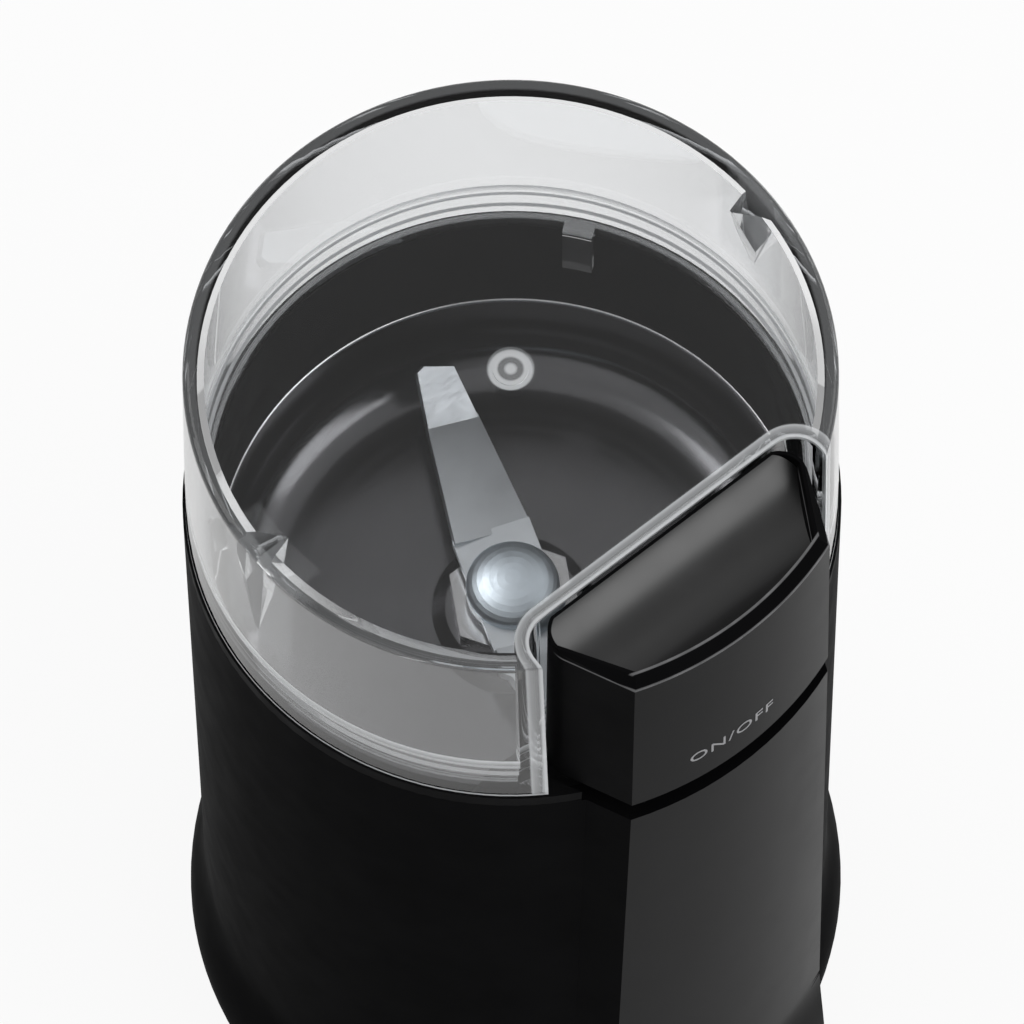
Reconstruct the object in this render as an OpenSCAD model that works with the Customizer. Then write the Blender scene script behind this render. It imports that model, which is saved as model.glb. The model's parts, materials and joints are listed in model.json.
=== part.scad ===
// Electric spice grinder: clear push-down lid, side push button, steel bowl and universal motor.
// Millimetres, +Z up, origin on the table under the bowl's axis; the button faces -Y.

/* [Overall] */
// Height of the closed grinder above the table
total_h = 198; // [190:1:215]
// Height of the clear lid
lid_h = 42; // [38:0.5:48]
// How much further out the body stands at its waist than below the lid
waist_out = 0.8; // [0:0.1:2]
// Height of the waist above the table
waist_z = 38; // [34:1:46]
// How far the bulge round the base stands out from the waist
bulge_out = 2.7; // [1:0.1:5]
// Height of the widest line of the bulge
bulge_z = 16.4; // [14:0.2:20]
// How far the body draws in from the bulge to its bottom edge
sole_in = 3.4; // [2:0.1:4.5]
// Height of the body's bottom edge above the table
sole_z = 4; // [3:0.5:6]
// Wall of the body shell
body_wall = 2.4; // [1.8:0.1:2.8]

/* [Front panel] */
// How far the front panel stands out from the body at its top
panel_rise = 4.8; // [4:0.1:6]
// How much the panel's radius grows down to the waist
panel_draft = 0.6; // [0:0.1:1.5]
// Half width of the panel where it leaves the bowl side
panel_in_x = 24.5; // [23.5:0.1:24.8]
// Turn of the panel's side faces from front to back, in degrees
panel_side_turn = 24.2; // [20:0.1:28]
// Lean of the side faces, in degrees: the panel widens downwards
panel_lean = 1; // [0:0.1:1.5]

/* [Lid] */
// Wall of the lid
lid_wall = 2; // [1.6:0.1:2.4]
// Thickness of the lid's top
lid_top_t = 2.2; // [1.8:0.1:3]
// How far the lid's foot stands out from the collar's inside
lid_foot_out = 3.8; // [3.4:0.1:4]
// How far the lid draws in from its foot to its top
lid_draft = 1; // [0:0.1:2]
// Distance from the panel's front back to the lid's flat wall
cut_back = 19.9; // [19.6:0.1:20.2]
// Outer radius of the cut-out's corners
cut_corner_r = 4.5; // [3:0.5:6]
// Width of one locating tab
tab_w = 4.5; // [3:0.5:7]
// How far the tabs hang below the lid
tab_drop = 9; // [5:0.5:12]
// Angle of each tab from the side, towards the back, in degrees
tab_angle = 37.5; // [25:0.5:50]
// Width of a corner gusset at the lid's wall
gusset_w = 7.6; // [4:0.2:10]
// Height of a gusset
gusset_h = 25; // [15:1:30]
// How far a gusset stands in from the wall
gusset_in = 4.2; // [3:0.2:6]
// Radius of the moulding mark in the middle of the lid
gate_r = 3.3; // [2:0.1:4]

/* [Button] */
// Travel of the button
button_travel = 4; // [3:0.25:4]
// Gap between the button's skirt and the panel
button_gap = 5; // [4.6:0.2:7]
// Wall of the button
button_wall = 2; // [1.6:0.1:2.4]
// Clearance between the button and the lid
button_clear = 0.7; // [0.6:0.1:1.2]
// Depth of the finger dish
dish_depth = 4; // [2:0.25:5]
// Height of the band round the button's top
band_h = 1.9; // [1:0.1:3]
// How far the band slopes in
band_in = 1.5; // [0.5:0.1:2]
// Radius of a guide post
post_r = 2.5; // [2:0.1:3]
// Distance of each guide post from the middle
post_x = 11.5; // [11:0.1:12]

/* [Bowl] */
// Depth from the lid's ledge to the steel rim
collar_h = 24; // [22:0.5:28]
// Inner radius of the steel bowl
bowl_r = 42.9; // [42:0.1:45]
// How far the collar stands back from the steel bowl
bowl_ledge = 0.3; // [0.2:0.1:0.6]
// Depth of the steel bowl
bowl_h = 16; // [14:0.5:18]
// Sheet of the steel bowl
bowl_t = 0.6; // [0.5:0.1:0.8]
// Radius of the bowl's lower corner
bowl_corner = 8; // [4:0.5:10]

/* [Blade] */
// Length of one blade arm from the axis
blade_len = 37.5; // [30:0.5:40]
// Width of the blade at its root
blade_root_w = 12; // [9:0.5:14]
// Width of the blade at its tip
blade_tip_w = 7; // [4:0.5:9]
// Thickness of the blade
blade_t = 1.5; // [1:0.1:2]
// Direction of the blade at rest, in degrees from +X
blade_turn = 70; // [0:5:180]
// Radius of the domed blade nut
hub_r = 6.9; // [5:0.1:8]
// Height of the domed blade nut
hub_h = 3.6; // [3:0.1:6]

/* [Motor] */
// Radius of the motor shaft
shaft_r = 2.5; // [2:0.1:3]
// Radius of the armature
armature_r = 15.8; // [14:0.1:16]
// Air gap between armature and field
air_gap = 0.4; // [0.3:0.05:0.6]
// Outer radius of the field stack
stator_r = 30; // [29:0.5:31]
// Number of armature slots
slots = 12; // [8:1:14]
// Radius of the commutator
commutator_r = 10; // [9:0.1:11]
// Width of a carbon brush
brush_w = 4.8; // [4:0.1:6]
// Length of a carbon brush
brush_len = 12; // [9:0.5:13]
// Gap between the cooling fan and the bracket's legs
fan_gap = 1.2; // [1:0.1:6]
// Number of fan blades
fan_blades = 9; // [6:1:14]

/* [Base] */
// Thickness of the base plate
base_t = 3; // [2.4:0.2:4]
// Radius of a rubber foot
foot_r = 6; // [4:0.5:7]
// Distance of the feet's middles from the body's bottom edge
foot_in = 10.5; // [10:0.5:13]
// Radius of the cord hole in the inlet
cord_r = 3.2; // [2.8:0.1:3.6]
// Radius of the M3 screws
screw_r = 1.5; // [1.2:0.1:1.6]

/* [Fits] */
// Radial clearance of a running fit
run_fit = 0.05; // [0.02:0.01:0.1]
// Clearance between pieces that are put together once
seat_fit = 0.2; // [0.1:0.05:0.3]

/* [Hidden] */

$fn = 72;
eps = 0.01;

// heights above the table
ledge_z = total_h - lid_h;
well_z = ledge_z - 3;            // top of the panel and of the plate under the button
skirt_z = well_z + button_gap;   // lower edge of the button
rim_z = ledge_z - collar_h;      // steel rim of the bowl
floor_z = rim_z - bowl_h;        // inside floor of the bowl
flange_t = 2.5;                  // collar's flange on top of the body
flange_z = ledge_z - flange_t;
plate_t = 3;                     // plate under the button
plate_z = well_z - plate_t;
roof_t = 2;                      // collar's roof over the front of the bowl
deck_z = sole_z + base_t;        // top of the base plate

// radii from the bowl outwards, and distances back from the panel's front
collar_r = bowl_r + bowl_ledge;
collar_wall = 1.7;
flange_fit = 0.1;                // between the collar and the body
body_top_r = collar_r + collar_wall + flange_fit + body_wall;
waist_r = body_top_r + waist_out;
bulge_r = waist_r + bulge_out;
sole_r = bulge_r - sole_in;
lid_foot_r = collar_r + lid_foot_out;
lid_top_r = lid_foot_r - lid_draft;
panel_r = body_top_r + panel_rise;
cut_y = panel_r - cut_back;      // front face of the lid's flat wall
cut_x = panel_in_x + 1.1;        // half width of the lid's cut-out
panel_in_y = cut_y + 2.7;        // where the panel leaves the bowl side
chord_y = cut_y - lid_wall;      // bowl side of the flat wall
button_back = cut_y + button_clear;
button_corner_r = cut_corner_r - 0.3; // the button's corners beside the lid's flat wall
side_run = panel_r - panel_in_y - 2.6;   // length of the button's sides
dish_rim = 0.5;                  // flat rim round the finger dish

// bowl, seat and blade stack
seat_rise = 1.2;                 // raised seat round the bowl's hole
seat_z = floor_z + seat_rise;
neck_r = 6;
nut_t = 3.4;
washer_t = 0.8;
neck_z = seat_z + nut_t;         // top of the motor's neck
washer_z = neck_z + 1;
blade_z = washer_z + washer_t;
hub_z = blade_z + blade_t;

// motor: down from the bowl's floor, and up from the base plate; the stacks fill what is left
bracket_t = 3;
bracket_z = floor_z - 13;        // underside of the upper bracket
fan_h = 7;
fan_z = bracket_z - fan_h - 2;
coil_over = 8;                   // field coil beyond the stack
stack_top = fan_z - coil_over - 4;
cup_z = deck_z + 10;             // underside of the lower bearing's cup
shaft_z = cup_z - 1;
bar_z = cup_z + 5;               // underside of the lower bracket's bar
comm_z = bar_z + 8;
wind_over = 9;                   // armature winding beyond its core
riser_t = 2;
comm_h = 12;
stack_z = comm_z + comm_h + riser_t + wind_over + 1;
stack_h = stack_top - stack_z;   // height of the lamination stacks
bore_in = armature_r + air_gap;  // bore between the pole shoes
shoe_t = 2.2;
yoke_t = 5;
yoke_in = stator_r - yoke_t;
neck_half = 7;                   // half width of a pole
bolt_y = stator_r - yoke_t / 2 - 0.2;
leg_t = 4.2;
leg_in = bolt_y - leg_t / 2;
leg_half = 8;
fan_r = leg_in - fan_gap;
bush_r = 5.5;
brush_z = comm_z + comm_h / 2;
brush_h = 5;
holder_wall = 0.8;
holder_fit = 0.1;
holder_x = commutator_r + 1.5;
holder_len = 15;
brush_plate_t = 3.2;
brush_plate_top = brush_z - brush_h / 2 - holder_fit - holder_wall;
plate_screw_y = 20;

// base
damper_y = bolt_y + 9.2;
damper_r = 5;
damper_flange = 2;
boss_ring_r = bulge_r - 10.3;
boss_r = 3.4;
foot_ring_r = sole_r - foot_in;
cord_z = 14;
clamp_y = bulge_r - 7.4;
clamp_half = 7.5;
clamp_t = 3;
clamp_screw_r = 1;
base_sink = 1.4;                 // depth of the sunk seats of the base screws

// switches in the room in front of the bowl
room_z = rim_z + roof_t;
plunger_r = 1.6;
main_sw = [19.8, 6.4, 10.2];
main_x = -14;                    // left end of the main switch
main_y = 9 - panel_r;            // its front face
main_top = plate_z - 0.3;
lid_sw = [13.4, 5.8, 6.5];
lid_sw_x = 6.6;
lid_sw_y = 11.9 - panel_r;
lid_sw_z = room_z + 2;
lid_travel = 2;                  // travel of the interlock slider
lid_plunger_x = 17.5;
slider_z = lid_sw_z + lid_sw[2] + 1.5;
slider_t = 3;
nose_x = 16;
nose_w = 4;
nose_back_y = -chord_y - 0.4;    // bowl side of the slider's nose
slider_y = -cut_y - 2.7;         // front of the slider
plunger_in = 1.6;                // how far the main plunger reaches into its case at rest
lid_plunger_in = 1;
rib_drop = 0.5;                  // how far the button's rib hangs below its skirt
slider_spring_x = 22.4;
slider_spring_y = -cut_y - 2.3;
sleeve_z = well_z + 10;          // lower end of the button's guide sleeves
post_y = 11.6 - panel_r;
post_top = well_z + 23;
leg_x = 6.5;                     // the button's two snap legs
leg_y = 5.4 - panel_r;           // their front faces
button_leg_w = 4;
button_leg_t = 1.6;
leg_hook = 1.2;                  // how far the hooks stand out
small_screw_r = 1.05;            // M2 screws of the switches and the cord clamp
main_hole_x = [3, main_sw[0] - 3];
main_hole_z = main_sw[2] - 7.5;
lid_hole_x = [2.4, 7.6];
lid_hole_z = 2.6;

// lugs of the collar
snap_angles = [20, 90, 160, 215, 325];
snap_turn = 8;
snap_z = rim_z + 7;
snap_h = 2;
snap_out = 0.9;

// smaller motor pieces
grip_fit = 0.02;                 // press fit on the shaft
hub_cover = 1;                   // metal over the shaft's end in the blade nut
slot_ring = armature_r - 4.2;
slot_r = 1.9;
coil_x = bore_in + shoe_t + 0.3; // inner face of the right field coil
coil_t = yoke_in - coil_x - 2.3;
coil_mid_x = coil_x + coil_t / 2;
coil_half_w = neck_half + 3.4;
coil_top = stack_top + coil_over;
cutout_x = stator_r + 1.8;
cutout_h = 14;
cutout_z = stack_z + (stack_h - cutout_h) / 2;

// pieces on the shelf and the base plate
shelf_t = 3;
seal_rim_t = 1.2;
block_x = -23;
block_y = 18;

// leads: radius, and the places of the switches' tabs
lead_r = 0.9;
lead_gap = 0.3;                  // from the end of a lead to its terminal
main_tab_y = main_y + main_sw[1] / 2;
main_tab_z = main_top - main_sw[2] - 1.9;
lid_tab_y = lid_sw_y + lid_sw[1] / 2;
lid_tab_z = lid_sw_z - 0.95;

// colours
black = [0.07, 0.07, 0.075];
clear = [0.85, 0.87, 0.88, 0.35];
steel = [0.75, 0.76, 0.78];
dark_steel = [0.42, 0.43, 0.45];
copper = [0.72, 0.38, 0.18];
brass = [0.78, 0.65, 0.33];
rubber = [0.12, 0.12, 0.12];

function unit(v) = v / norm(v);
function clamp01(t) = min(max(t, 0), 1);

// body's outer radius at height z: a slight taper, a waist, a bulge and a drawn-in foot
function body_r(z) =
    z > waist_z ? waist_r + (body_top_r - waist_r) * (z - waist_z) / (ledge_z - waist_z)
    : z > bulge_z ? waist_r + (bulge_r - waist_r) * (1 - cos(180 * (waist_z - z) / (waist_z - bulge_z))) / 2
    : sole_r + (bulge_r - sole_r) * cos(90 * (bulge_z - z) / (bulge_z - sole_z));

// how much further out than the body the panel stands, at height z
function panel_out(z) =
    let (t = clamp01((ledge_z - z) / (ledge_z - waist_z)))
    (1 - t) * (panel_r - body_top_r) + t * (panel_r + panel_draft - waist_r);

function body_heights(z0, z1) =
    z0 < waist_z ? [for (i = [0 : 26]) z0 + (min(z1, waist_z) - z0) * i / 26, z1] : [z0, z1];

function body_profile(z0, z1, inset, out) =
    let (zs = body_heights(z0, z1))
    concat([[0, z0]], [for (z = zs) [body_r(z) + out * panel_out(z) - inset, z]], [[0, z1]]);

// point on the panel's right side face, beside the bowl, at height z
function side_point(z) =
    let (d = tan(panel_lean) * (z - well_z))
    [panel_in_x - cos(panel_side_turn) * d, -panel_in_y + sin(panel_side_turn) * d, z];

// everything on the inner side of the panel's side face, s = 1 on the right
module side_half(s, z, lean, inset) {
    mirror([s < 0 ? 1 : 0, 0, 0]) translate(side_point(z)) rotate([0, -lean, -panel_side_turn])
        translate([-120 - inset, -60, -250]) cube([120, 120, 500]);
}

module between_sides(inset) {
    intersection() {
        side_half(1, well_z, panel_lean, inset);
        side_half(-1, well_z, panel_lean, inset);
    }
}

module slab(z0, z1, y0 = -80, y1 = 80) {
    translate([-80, y0, z0]) cube([160, y1 - y0, z1 - z0]);
}

module tube(r_out, r_in, h) {
    difference() {
        cylinder(r = r_out, h = h);
        translate([0, 0, -1]) cylinder(r = r_in, h = h + 2);
    }
}

module rod_y(r, len) {
    rotate([-90, 0, 0]) cylinder(r = r, h = len);
}

// the body's round form, moved in by inset
module body_round(z0, z1, inset) {
    rotate_extrude($fn = 120) polygon(body_profile(z0, z1, inset, 0));
}

// the front panel's form, moved in by inset
module body_panel(z0, z1, inset) {
    turn = 40;
    intersection() {
        rotate([0, 0, -90 - turn]) rotate_extrude(angle = 2 * turn, $fn = 120)
            polygon(body_profile(z0, z1, inset, 1));
        between_sides(inset);
    }
}

module body_form(z0, z1, inset) {
    body_round(z0, z1, inset);
    body_panel(z0, z1, inset);
}

// a tube of radius r along a path
function carried(t, i, u0) =
    i == len(t) ? [] : let (u = unit(u0 - (u0 * t[i]) * t[i])) concat([u], carried(t, i + 1, u));

function across(t) = abs(t[2]) < 0.9 ? cross(t, [0, 0, 1]) : cross(t, [1, 0, 0]);

module sweep(path, r, sides) {
    n = len(path);
    t = [for (i = [0 : n - 1]) unit(path[min(i + 1, n - 1)] - path[max(i - 1, 0)])];
    u = carried(t, 0, unit(across(t[0])));
    pts = [for (i = [0 : n - 1]) for (k = [0 : sides - 1])
        let (a = 360 * k / sides) path[i] + r * (cos(a) * u[i] + sin(a) * cross(t[i], u[i]))];
    walls = [for (i = [0 : n - 2]) for (k = [0 : sides - 1])
        let (a = i * sides + k, b = i * sides + (k + 1) % sides)
        each [[a, a + sides, b], [b, a + sides, b + sides]]];
    first = [for (k = [0 : sides - 1]) k];
    last = [for (k = [sides - 1 : -1 : 0]) (n - 1) * sides + k];
    polyhedron(pts, concat(walls, [first, last]));
}

function between(a, b, c, d, t) =
    0.5 * (2 * b + (c - a) * t + (2 * a - 5 * b + 4 * c - d) * t * t + (3 * b - a - 3 * c + d) * t * t * t);

function smooth(p, n = 4) =
    [for (i = [0 : len(p) - 2]) for (k = [0 : n - 1])
        between(p[max(i - 1, 0)], p[i], p[i + 1], p[min(i + 2, len(p) - 1)], k / n), p[len(p) - 1]];

// compression spring standing on z = 0, h long
module coil_spring(r, wire_r, h, turns) {
    steps = 14 * turns;
    lift = h - 2 * wire_r;
    path = [for (i = [0 : steps]) let (a = 360 * turns * i / steps)
        [r * cos(a), r * sin(a), wire_r + lift * i / steps]];
    sweep(path, wire_r, 6);
}

// ---- lid ----

// plan of the lid's cut-out for the button, moved out by grow
module cut_plan(grow) {
    x0 = cut_x - cut_corner_r;
    y0 = -(cut_y + cut_corner_r);
    for (s = [-1, 1]) translate([s * x0, y0]) circle(r = cut_corner_r + grow);
    translate([-x0, y0 - 40]) square([2 * x0, 40 + cut_corner_r + grow]);
    translate([-cut_x - grow, y0 - 40]) square([2 * (cut_x + grow), 40]);
}

module lid_form() {
    edge = 1;
    rotate_extrude($fn = 120) polygon(concat([[0, ledge_z], [lid_foot_r, ledge_z]],
        [for (a = [0 : 18 : 90]) [lid_top_r - edge + edge * cos(a), total_h - edge + edge * sin(a)]],
        [[0, total_h]]));
}

module lid_hollow() {
    foot_in = collar_r + 0.2;
    step = 0.5;
    top_in = lid_top_r - lid_wall;
    rotate_extrude($fn = 120) polygon([[0, ledge_z - 1], [foot_in, ledge_z - 1], [foot_in, ledge_z + 2.4],
        [foot_in + step, ledge_z + 2.4], [foot_in + step, ledge_z + 5], [foot_in + 2 * step, ledge_z + 5],
        [foot_in + 2 * step, ledge_z + 7.6], [lid_foot_r - lid_wall - 0.2, ledge_z + 7.6],
        [top_in, total_h - lid_top_t - 1], [top_in - 1, total_h - lid_top_t], [0, total_h - lid_top_t]]);
}

// pyramid-shaped gusset in the corner of wall and top, on the +X side
module gusset() {
    wall_x = lid_top_r - lid_wall / 2;
    tip_x = lid_top_r - lid_wall - gusset_in;
    top = total_h - lid_top_t / 2;
    intersection() {
        translate([0, 0, ledge_z]) linear_extrude(lid_h)
            polygon([[tip_x, 0], [wall_x, gusset_w * 0.2], [wall_x, -gusset_w * 0.8]]);
        translate([0, 20, 0]) rotate([90, 0, 0]) linear_extrude(40)
            polygon([[tip_x, top], [wall_x, top], [wall_x, top - gusset_h]]);
        rotate([90, 0, 90]) linear_extrude(60)
            polygon([[gusset_w * 0.2, top], [-gusset_w * 0.8, top], [0, top - gusset_h]]);
    }
}

// tab that hangs inside the collar and holds the lid in line
module lid_tab() {
    out = collar_r - seat_fit;
    turn = tab_w / out * 180 / PI;
    rotate([0, 0, -turn / 2]) rotate_extrude(angle = turn)
        polygon([[out - 1.5, ledge_z - tab_drop], [out, ledge_z - tab_drop], [out, ledge_z + 0.1],
            [out + 1, ledge_z + 0.1], [out + 1, ledge_z + 2.4], [out - 1.5, ledge_z + 2.4]]);
}

module lid() color(clear) {
    difference() {
        lid_form();
        difference() {
            lid_hollow();
            translate([0, 0, ledge_z - 2]) linear_extrude(lid_h + 4) cut_plan(lid_wall);
        }
        translate([0, 0, ledge_z - 2]) linear_extrude(lid_h + 4) cut_plan(0);
        translate([0, 0, total_h - 0.4]) tube(gate_r, gate_r - 0.8, 1);
    }
    gusset();
    rotate([0, 0, 180]) gusset();
    rotate([0, 0, tab_angle]) lid_tab();
    rotate([0, 0, 180 - tab_angle]) lid_tab();
}

// ---- button ----

function button_r(z) = panel_r - panel_draft * (z - skirt_z) / (total_h - skirt_z);

// the button's form, moved in by inset, from z0 to z1
module button_form(z0, z1, inset, corner) {
    back = button_back + inset;
    side = inset + corner;
    local_y = (panel_in_y - back - corner - sin(panel_side_turn) * side) / cos(panel_side_turn);
    difference() {
        intersection() {
            between_sides(inset);
            slab(z0, z1, -80, -back);
            rotate_extrude($fn = 120)
                polygon([[0, z0], [button_r(z0) - inset, z0], [button_r(z1) - inset, z1], [0, z1]]);
        }
        for (s = [0, 1]) mirror([s, 0, 0]) translate(side_point(well_z))
            rotate([0, -panel_lean, -panel_side_turn]) translate([-side, local_y, z0 - well_z - 2])
                linear_extrude(z1 - z0 + 6) difference() {
                    polygon([[0, 0], [side + 9, 0], [side + 9, 20],
                        [-20 * sin(panel_side_turn), 20 * cos(panel_side_turn)]]);
                    circle(r = corner);
                }
    }
}

// inner side of a plane that stands on the button's side at the back corner of its top,
// turned inwards to the front, falling to the front and leaning inwards
module top_side(s, turn, fall, lean, inset) {
    mirror([s < 0 ? 1 : 0, 0, 0]) translate(side_point(total_h)) rotate([0, 0, -panel_side_turn - turn])
        rotate([fall, 0, 0]) rotate([0, -lean, 0]) translate([-120 - inset, -60, -250]) cube([120, 120, 500]);
}

// the sloping band round the top, which runs out along the sides
module button_band() {
    z = total_h - band_h;
    fall = atan(band_h / side_run);
    lean = atan(band_in / band_h);
    intersection() {
        top_side(1, 0, fall, lean, 0);
        top_side(-1, 0, fall, lean, 0);
        rotate_extrude($fn = 120) polygon([[0, 0], [button_r(z) + 20, 0], [button_r(z) + 20, z],
            [button_r(z), z], [button_r(z) - band_in, total_h], [0, total_h]]);
    }
}

module finger_dish() {
    back = button_back + dish_rim;
    front = button_r(total_h) - band_in - dish_rim;
    half = (front - back) / 2;
    r = (half * half + dish_depth * dish_depth) / (2 * dish_depth);
    turn = atan(band_in / side_run);
    intersection() {
        translate([-40, -back - half, total_h - dish_depth + r]) rotate([0, 90, 0]) cylinder(r = r, h = 80);
        button_form(total_h - dish_depth - 1, total_h + 1, dish_rim, button_corner_r - dish_rim);
        top_side(1, turn, 0, -8, dish_rim);
        top_side(-1, turn, 0, -8, dish_rim);
        translate([0, 0, total_h - dish_depth - 2]) cylinder(r = front, h = dish_depth + 4, $fn = 120);
    }
}

// snap leg that passes the plate and hooks under it, at x
module button_leg(x) {
    w = button_leg_w;
    t = button_leg_t;
    top = skirt_z + 14;
    low = plate_z - 3;
    wall_y = button_wall / 2 - button_r(top);
    translate([x - w / 2, leg_y, low]) cube([w, t, top - low]);
    translate([x - w / 2, wall_y, top - 6]) cube([w, leg_y + eps - wall_y, 6]);
    translate([x - w / 2, leg_y - leg_hook, low]) cube([w, t, plate_z - 0.2 - low]);
}

module button_cap() color(black) {
    hollow_top = total_h - dish_depth - button_wall;
    difference() {
        intersection() {
            button_form(skirt_z, total_h, 0, button_corner_r);
            button_band();
        }
        finger_dish();
        button_form(skirt_z - 1, hollow_top, button_wall, button_corner_r - 1.8);
    }
    for (s = [-1, 1]) translate([s * post_x, post_y, sleeve_z])
        tube(post_r + 1.5, post_r + run_fit, hollow_top - sleeve_z + eps);
    // rib that presses the switch
    translate([-2.5, post_y - 1.6, skirt_z - rib_drop])
        cube([5, 3.2, hollow_top - skirt_z + rib_drop + eps]);
    for (s = [-1, 1]) button_leg(s * leg_x);
}

module button_spring() color(steel) {
    translate([0, post_y, well_z]) coil_spring(post_r + 0.9, 0.4, sleeve_z - well_z, 5);
}

module button_spring_left() translate([-post_x, 0, 0]) button_spring();
module button_spring_right() translate([post_x, 0, 0]) button_spring();

// ---- collar and bowl ----

// lugs round the collar that snap into the body's wall
module snap_ring(grow) {
    for (a = snap_angles) rotate([0, 0, a - snap_turn / 2 - grow * 2]) translate([0, 0, snap_z - grow])
        rotate_extrude(angle = snap_turn + grow * 4) translate([collar_r + collar_wall - 0.5, 0])
            square([snap_out + 0.5 + grow, snap_h + 2 * grow]);
}

module bowl_collar() color(black) {
    outer = collar_r + collar_wall;
    difference() {
        union() {
            translate([0, 0, rim_z]) cylinder(r = outer, h = flange_z - rim_z + eps, $fn = 120);
            translate([0, 0, flange_z]) cylinder(r = body_top_r, h = flange_t, $fn = 120);
            intersection() {
                body_form(plate_z - 1, well_z + 1, body_wall + seat_fit);
                slab(plate_z, well_z, -80, -chord_y);
            }
            snap_ring(0);
        }
        // bowl side
        difference() {
            translate([0, 0, rim_z - 1]) cylinder(r = collar_r, h = collar_h + 2, $fn = 120);
            slab(rim_z - 2, ledge_z + 2, -80, -chord_y);
        }
        // room for the switches, open to the front
        slab(room_z, plate_z, -80, -cut_y);
        // well in which the button travels
        intersection() {
            between_sides(-0.4);
            slab(well_z, ledge_z + 1, -80, -cut_y);
        }
        // hole for the switch plunger, slots for the button's legs, and the slider's slot
        translate([0, post_y, plate_z - 1]) cylinder(r = plunger_r + 0.5, h = plate_t + 2);
        for (s = [-1, 1]) translate([s * leg_x - button_leg_w / 2 - 0.4, leg_y - 0.4, plate_z - 1])
            cube([button_leg_w + 0.8, button_leg_t + 1.4, plate_t + 2]);
        translate([nose_x - seat_fit, slider_y - seat_fit, slider_z + slider_t - 0.4])
            cube([nose_w + 2 * seat_fit, nose_back_y - slider_y + 2 * seat_fit, ledge_z]);
    }
    for (s = [-1, 1]) translate([s * post_x, post_y, well_z - eps])
        cylinder(r = post_r, h = post_top - well_z);
    for (x = main_hole_x) translate([main_x + x, main_y + main_sw[1], main_top - main_sw[2] + main_hole_z])
        switch_boss(-cut_y - main_y - main_sw[1]);
    for (x = lid_hole_x) translate([lid_sw_x + x, lid_sw_y + lid_sw[1], lid_sw_z + lid_hole_z])
        switch_boss(-cut_y - lid_sw_y - lid_sw[1]);
    translate([slider_spring_x, slider_spring_y, room_z - eps]) cylinder(r = 0.9, h = 3);
}

module switch_boss(len) {
    difference() {
        rod_y(1.9, len + eps);
        translate([0, -1, 0]) rod_y(small_screw_r + run_fit, len + 1);
    }
}

module collar_seal() color(rubber) {
    translate([0, 0, rim_z - bowl_t - seal_rim_t])
        tube(collar_r + collar_wall, bowl_r + bowl_t + 0.3, seal_rim_t, $fn = 120);
}

// rounded lower corner of the bowl, moved out by out
function bowl_side(out) =
    let (c = bowl_corner + out)
    [for (a = [0 : 9 : 90]) [bowl_r - bowl_corner + c * cos(a), floor_z + bowl_corner - c * sin(a)]];

module grinding_bowl() color(steel) {
    t = bowl_t;
    flange_r = collar_r + collar_wall;
    inner = concat([[flange_r, rim_z], [bowl_r, rim_z]], bowl_side(0),
        [[12, floor_z], [10, seat_z], [neck_r + seat_fit, seat_z]]);
    outer = concat([[neck_r + seat_fit, seat_z - t], [10 - t / 2, seat_z - t], [12 - t / 2, floor_z - t]],
        [for (i = [len(bowl_side(t)) - 1 : -1 : 0]) bowl_side(t)[i]],
        [[bowl_r + t, rim_z - t], [flange_r, rim_z - t]]);
    rotate_extrude($fn = 120) polygon(concat(inner, outer));
}

module bowl_gasket() color(rubber) {
    translate([0, 0, seat_z - bowl_t - 1.4]) tube(9.4, neck_r + seat_fit, 1.4);
}

module bowl_nut() color(steel) {
    difference() {
        translate([0, 0, seat_z]) cylinder(r = 10, h = nut_t, $fn = 6);
        translate([0, 0, seat_z - 1]) cylinder(r = neck_r + run_fit, h = nut_t + 2);
    }
}

module shaft_seal() color(rubber) {
    translate([0, 0, neck_z - 2]) tube(4.6, shaft_r + run_fit, 2 + eps);
    translate([0, 0, neck_z]) tube(5.6, shaft_r + run_fit, 0.7);
}

// ---- blade ----

// one arm along +X: flat root, twisted arm and bent tip; s turns the tip up or down
module blade_arm(s) {
    root = 9;
    bend = blade_len - 9;
    half_root = blade_root_w / 2;
    half_tip = blade_tip_w / 2;
    linear_extrude(blade_t) polygon([[0, -half_root], [root + 1, -half_root], [root + 1, half_root],
        [0, half_root]]);
    translate([0, 0, blade_t / 2]) rotate([s * 9, 0, 0]) {
        translate([0, 0, -blade_t / 2]) linear_extrude(blade_t)
            polygon([[root, -half_root], [bend + 0.3, -half_tip - 1], [bend + 0.3, half_tip],
                [root, half_root]]);
        translate([bend, 0, -blade_t / 2]) rotate([0, -s * 28, 0]) linear_extrude(blade_t)
            polygon([[0, -half_tip - 1], [8.5, -half_tip + 1], [9.5, half_tip - 1.5], [8.8, half_tip - 0.3],
                [0, half_tip]]);
    }
}

module blade() color(steel) {
    translate([0, 0, blade_z]) rotate([0, 0, blade_turn]) difference() {
        union() {
            blade_arm(1);
            rotate([0, 0, 180]) blade_arm(-1);
            cylinder(r = hub_r, h = blade_t);
        }
        translate([0, 0, -1]) cylinder(r = shaft_r + grip_fit, h = blade_t + 2);
    }
}

module blade_washer() color(dark_steel) {
    translate([0, 0, washer_z]) tube(6, shaft_r + grip_fit, washer_t);
}

module blade_nut() color([0.6, 0.66, 0.72]) {
    rim = 0.8;
    difference() {
        translate([0, 0, hub_z]) rotate_extrude() polygon(concat([[0, 0], [hub_r, 0]],
            [for (a = [0 : 10 : 90]) [hub_r * cos(a), rim + (hub_h - rim) * sin(a)]]));
        translate([0, 0, hub_z - 1]) cylinder(r = shaft_r + grip_fit, h = 1 + hub_h - hub_cover);
    }
}

// ---- switches and interlock ----

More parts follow.
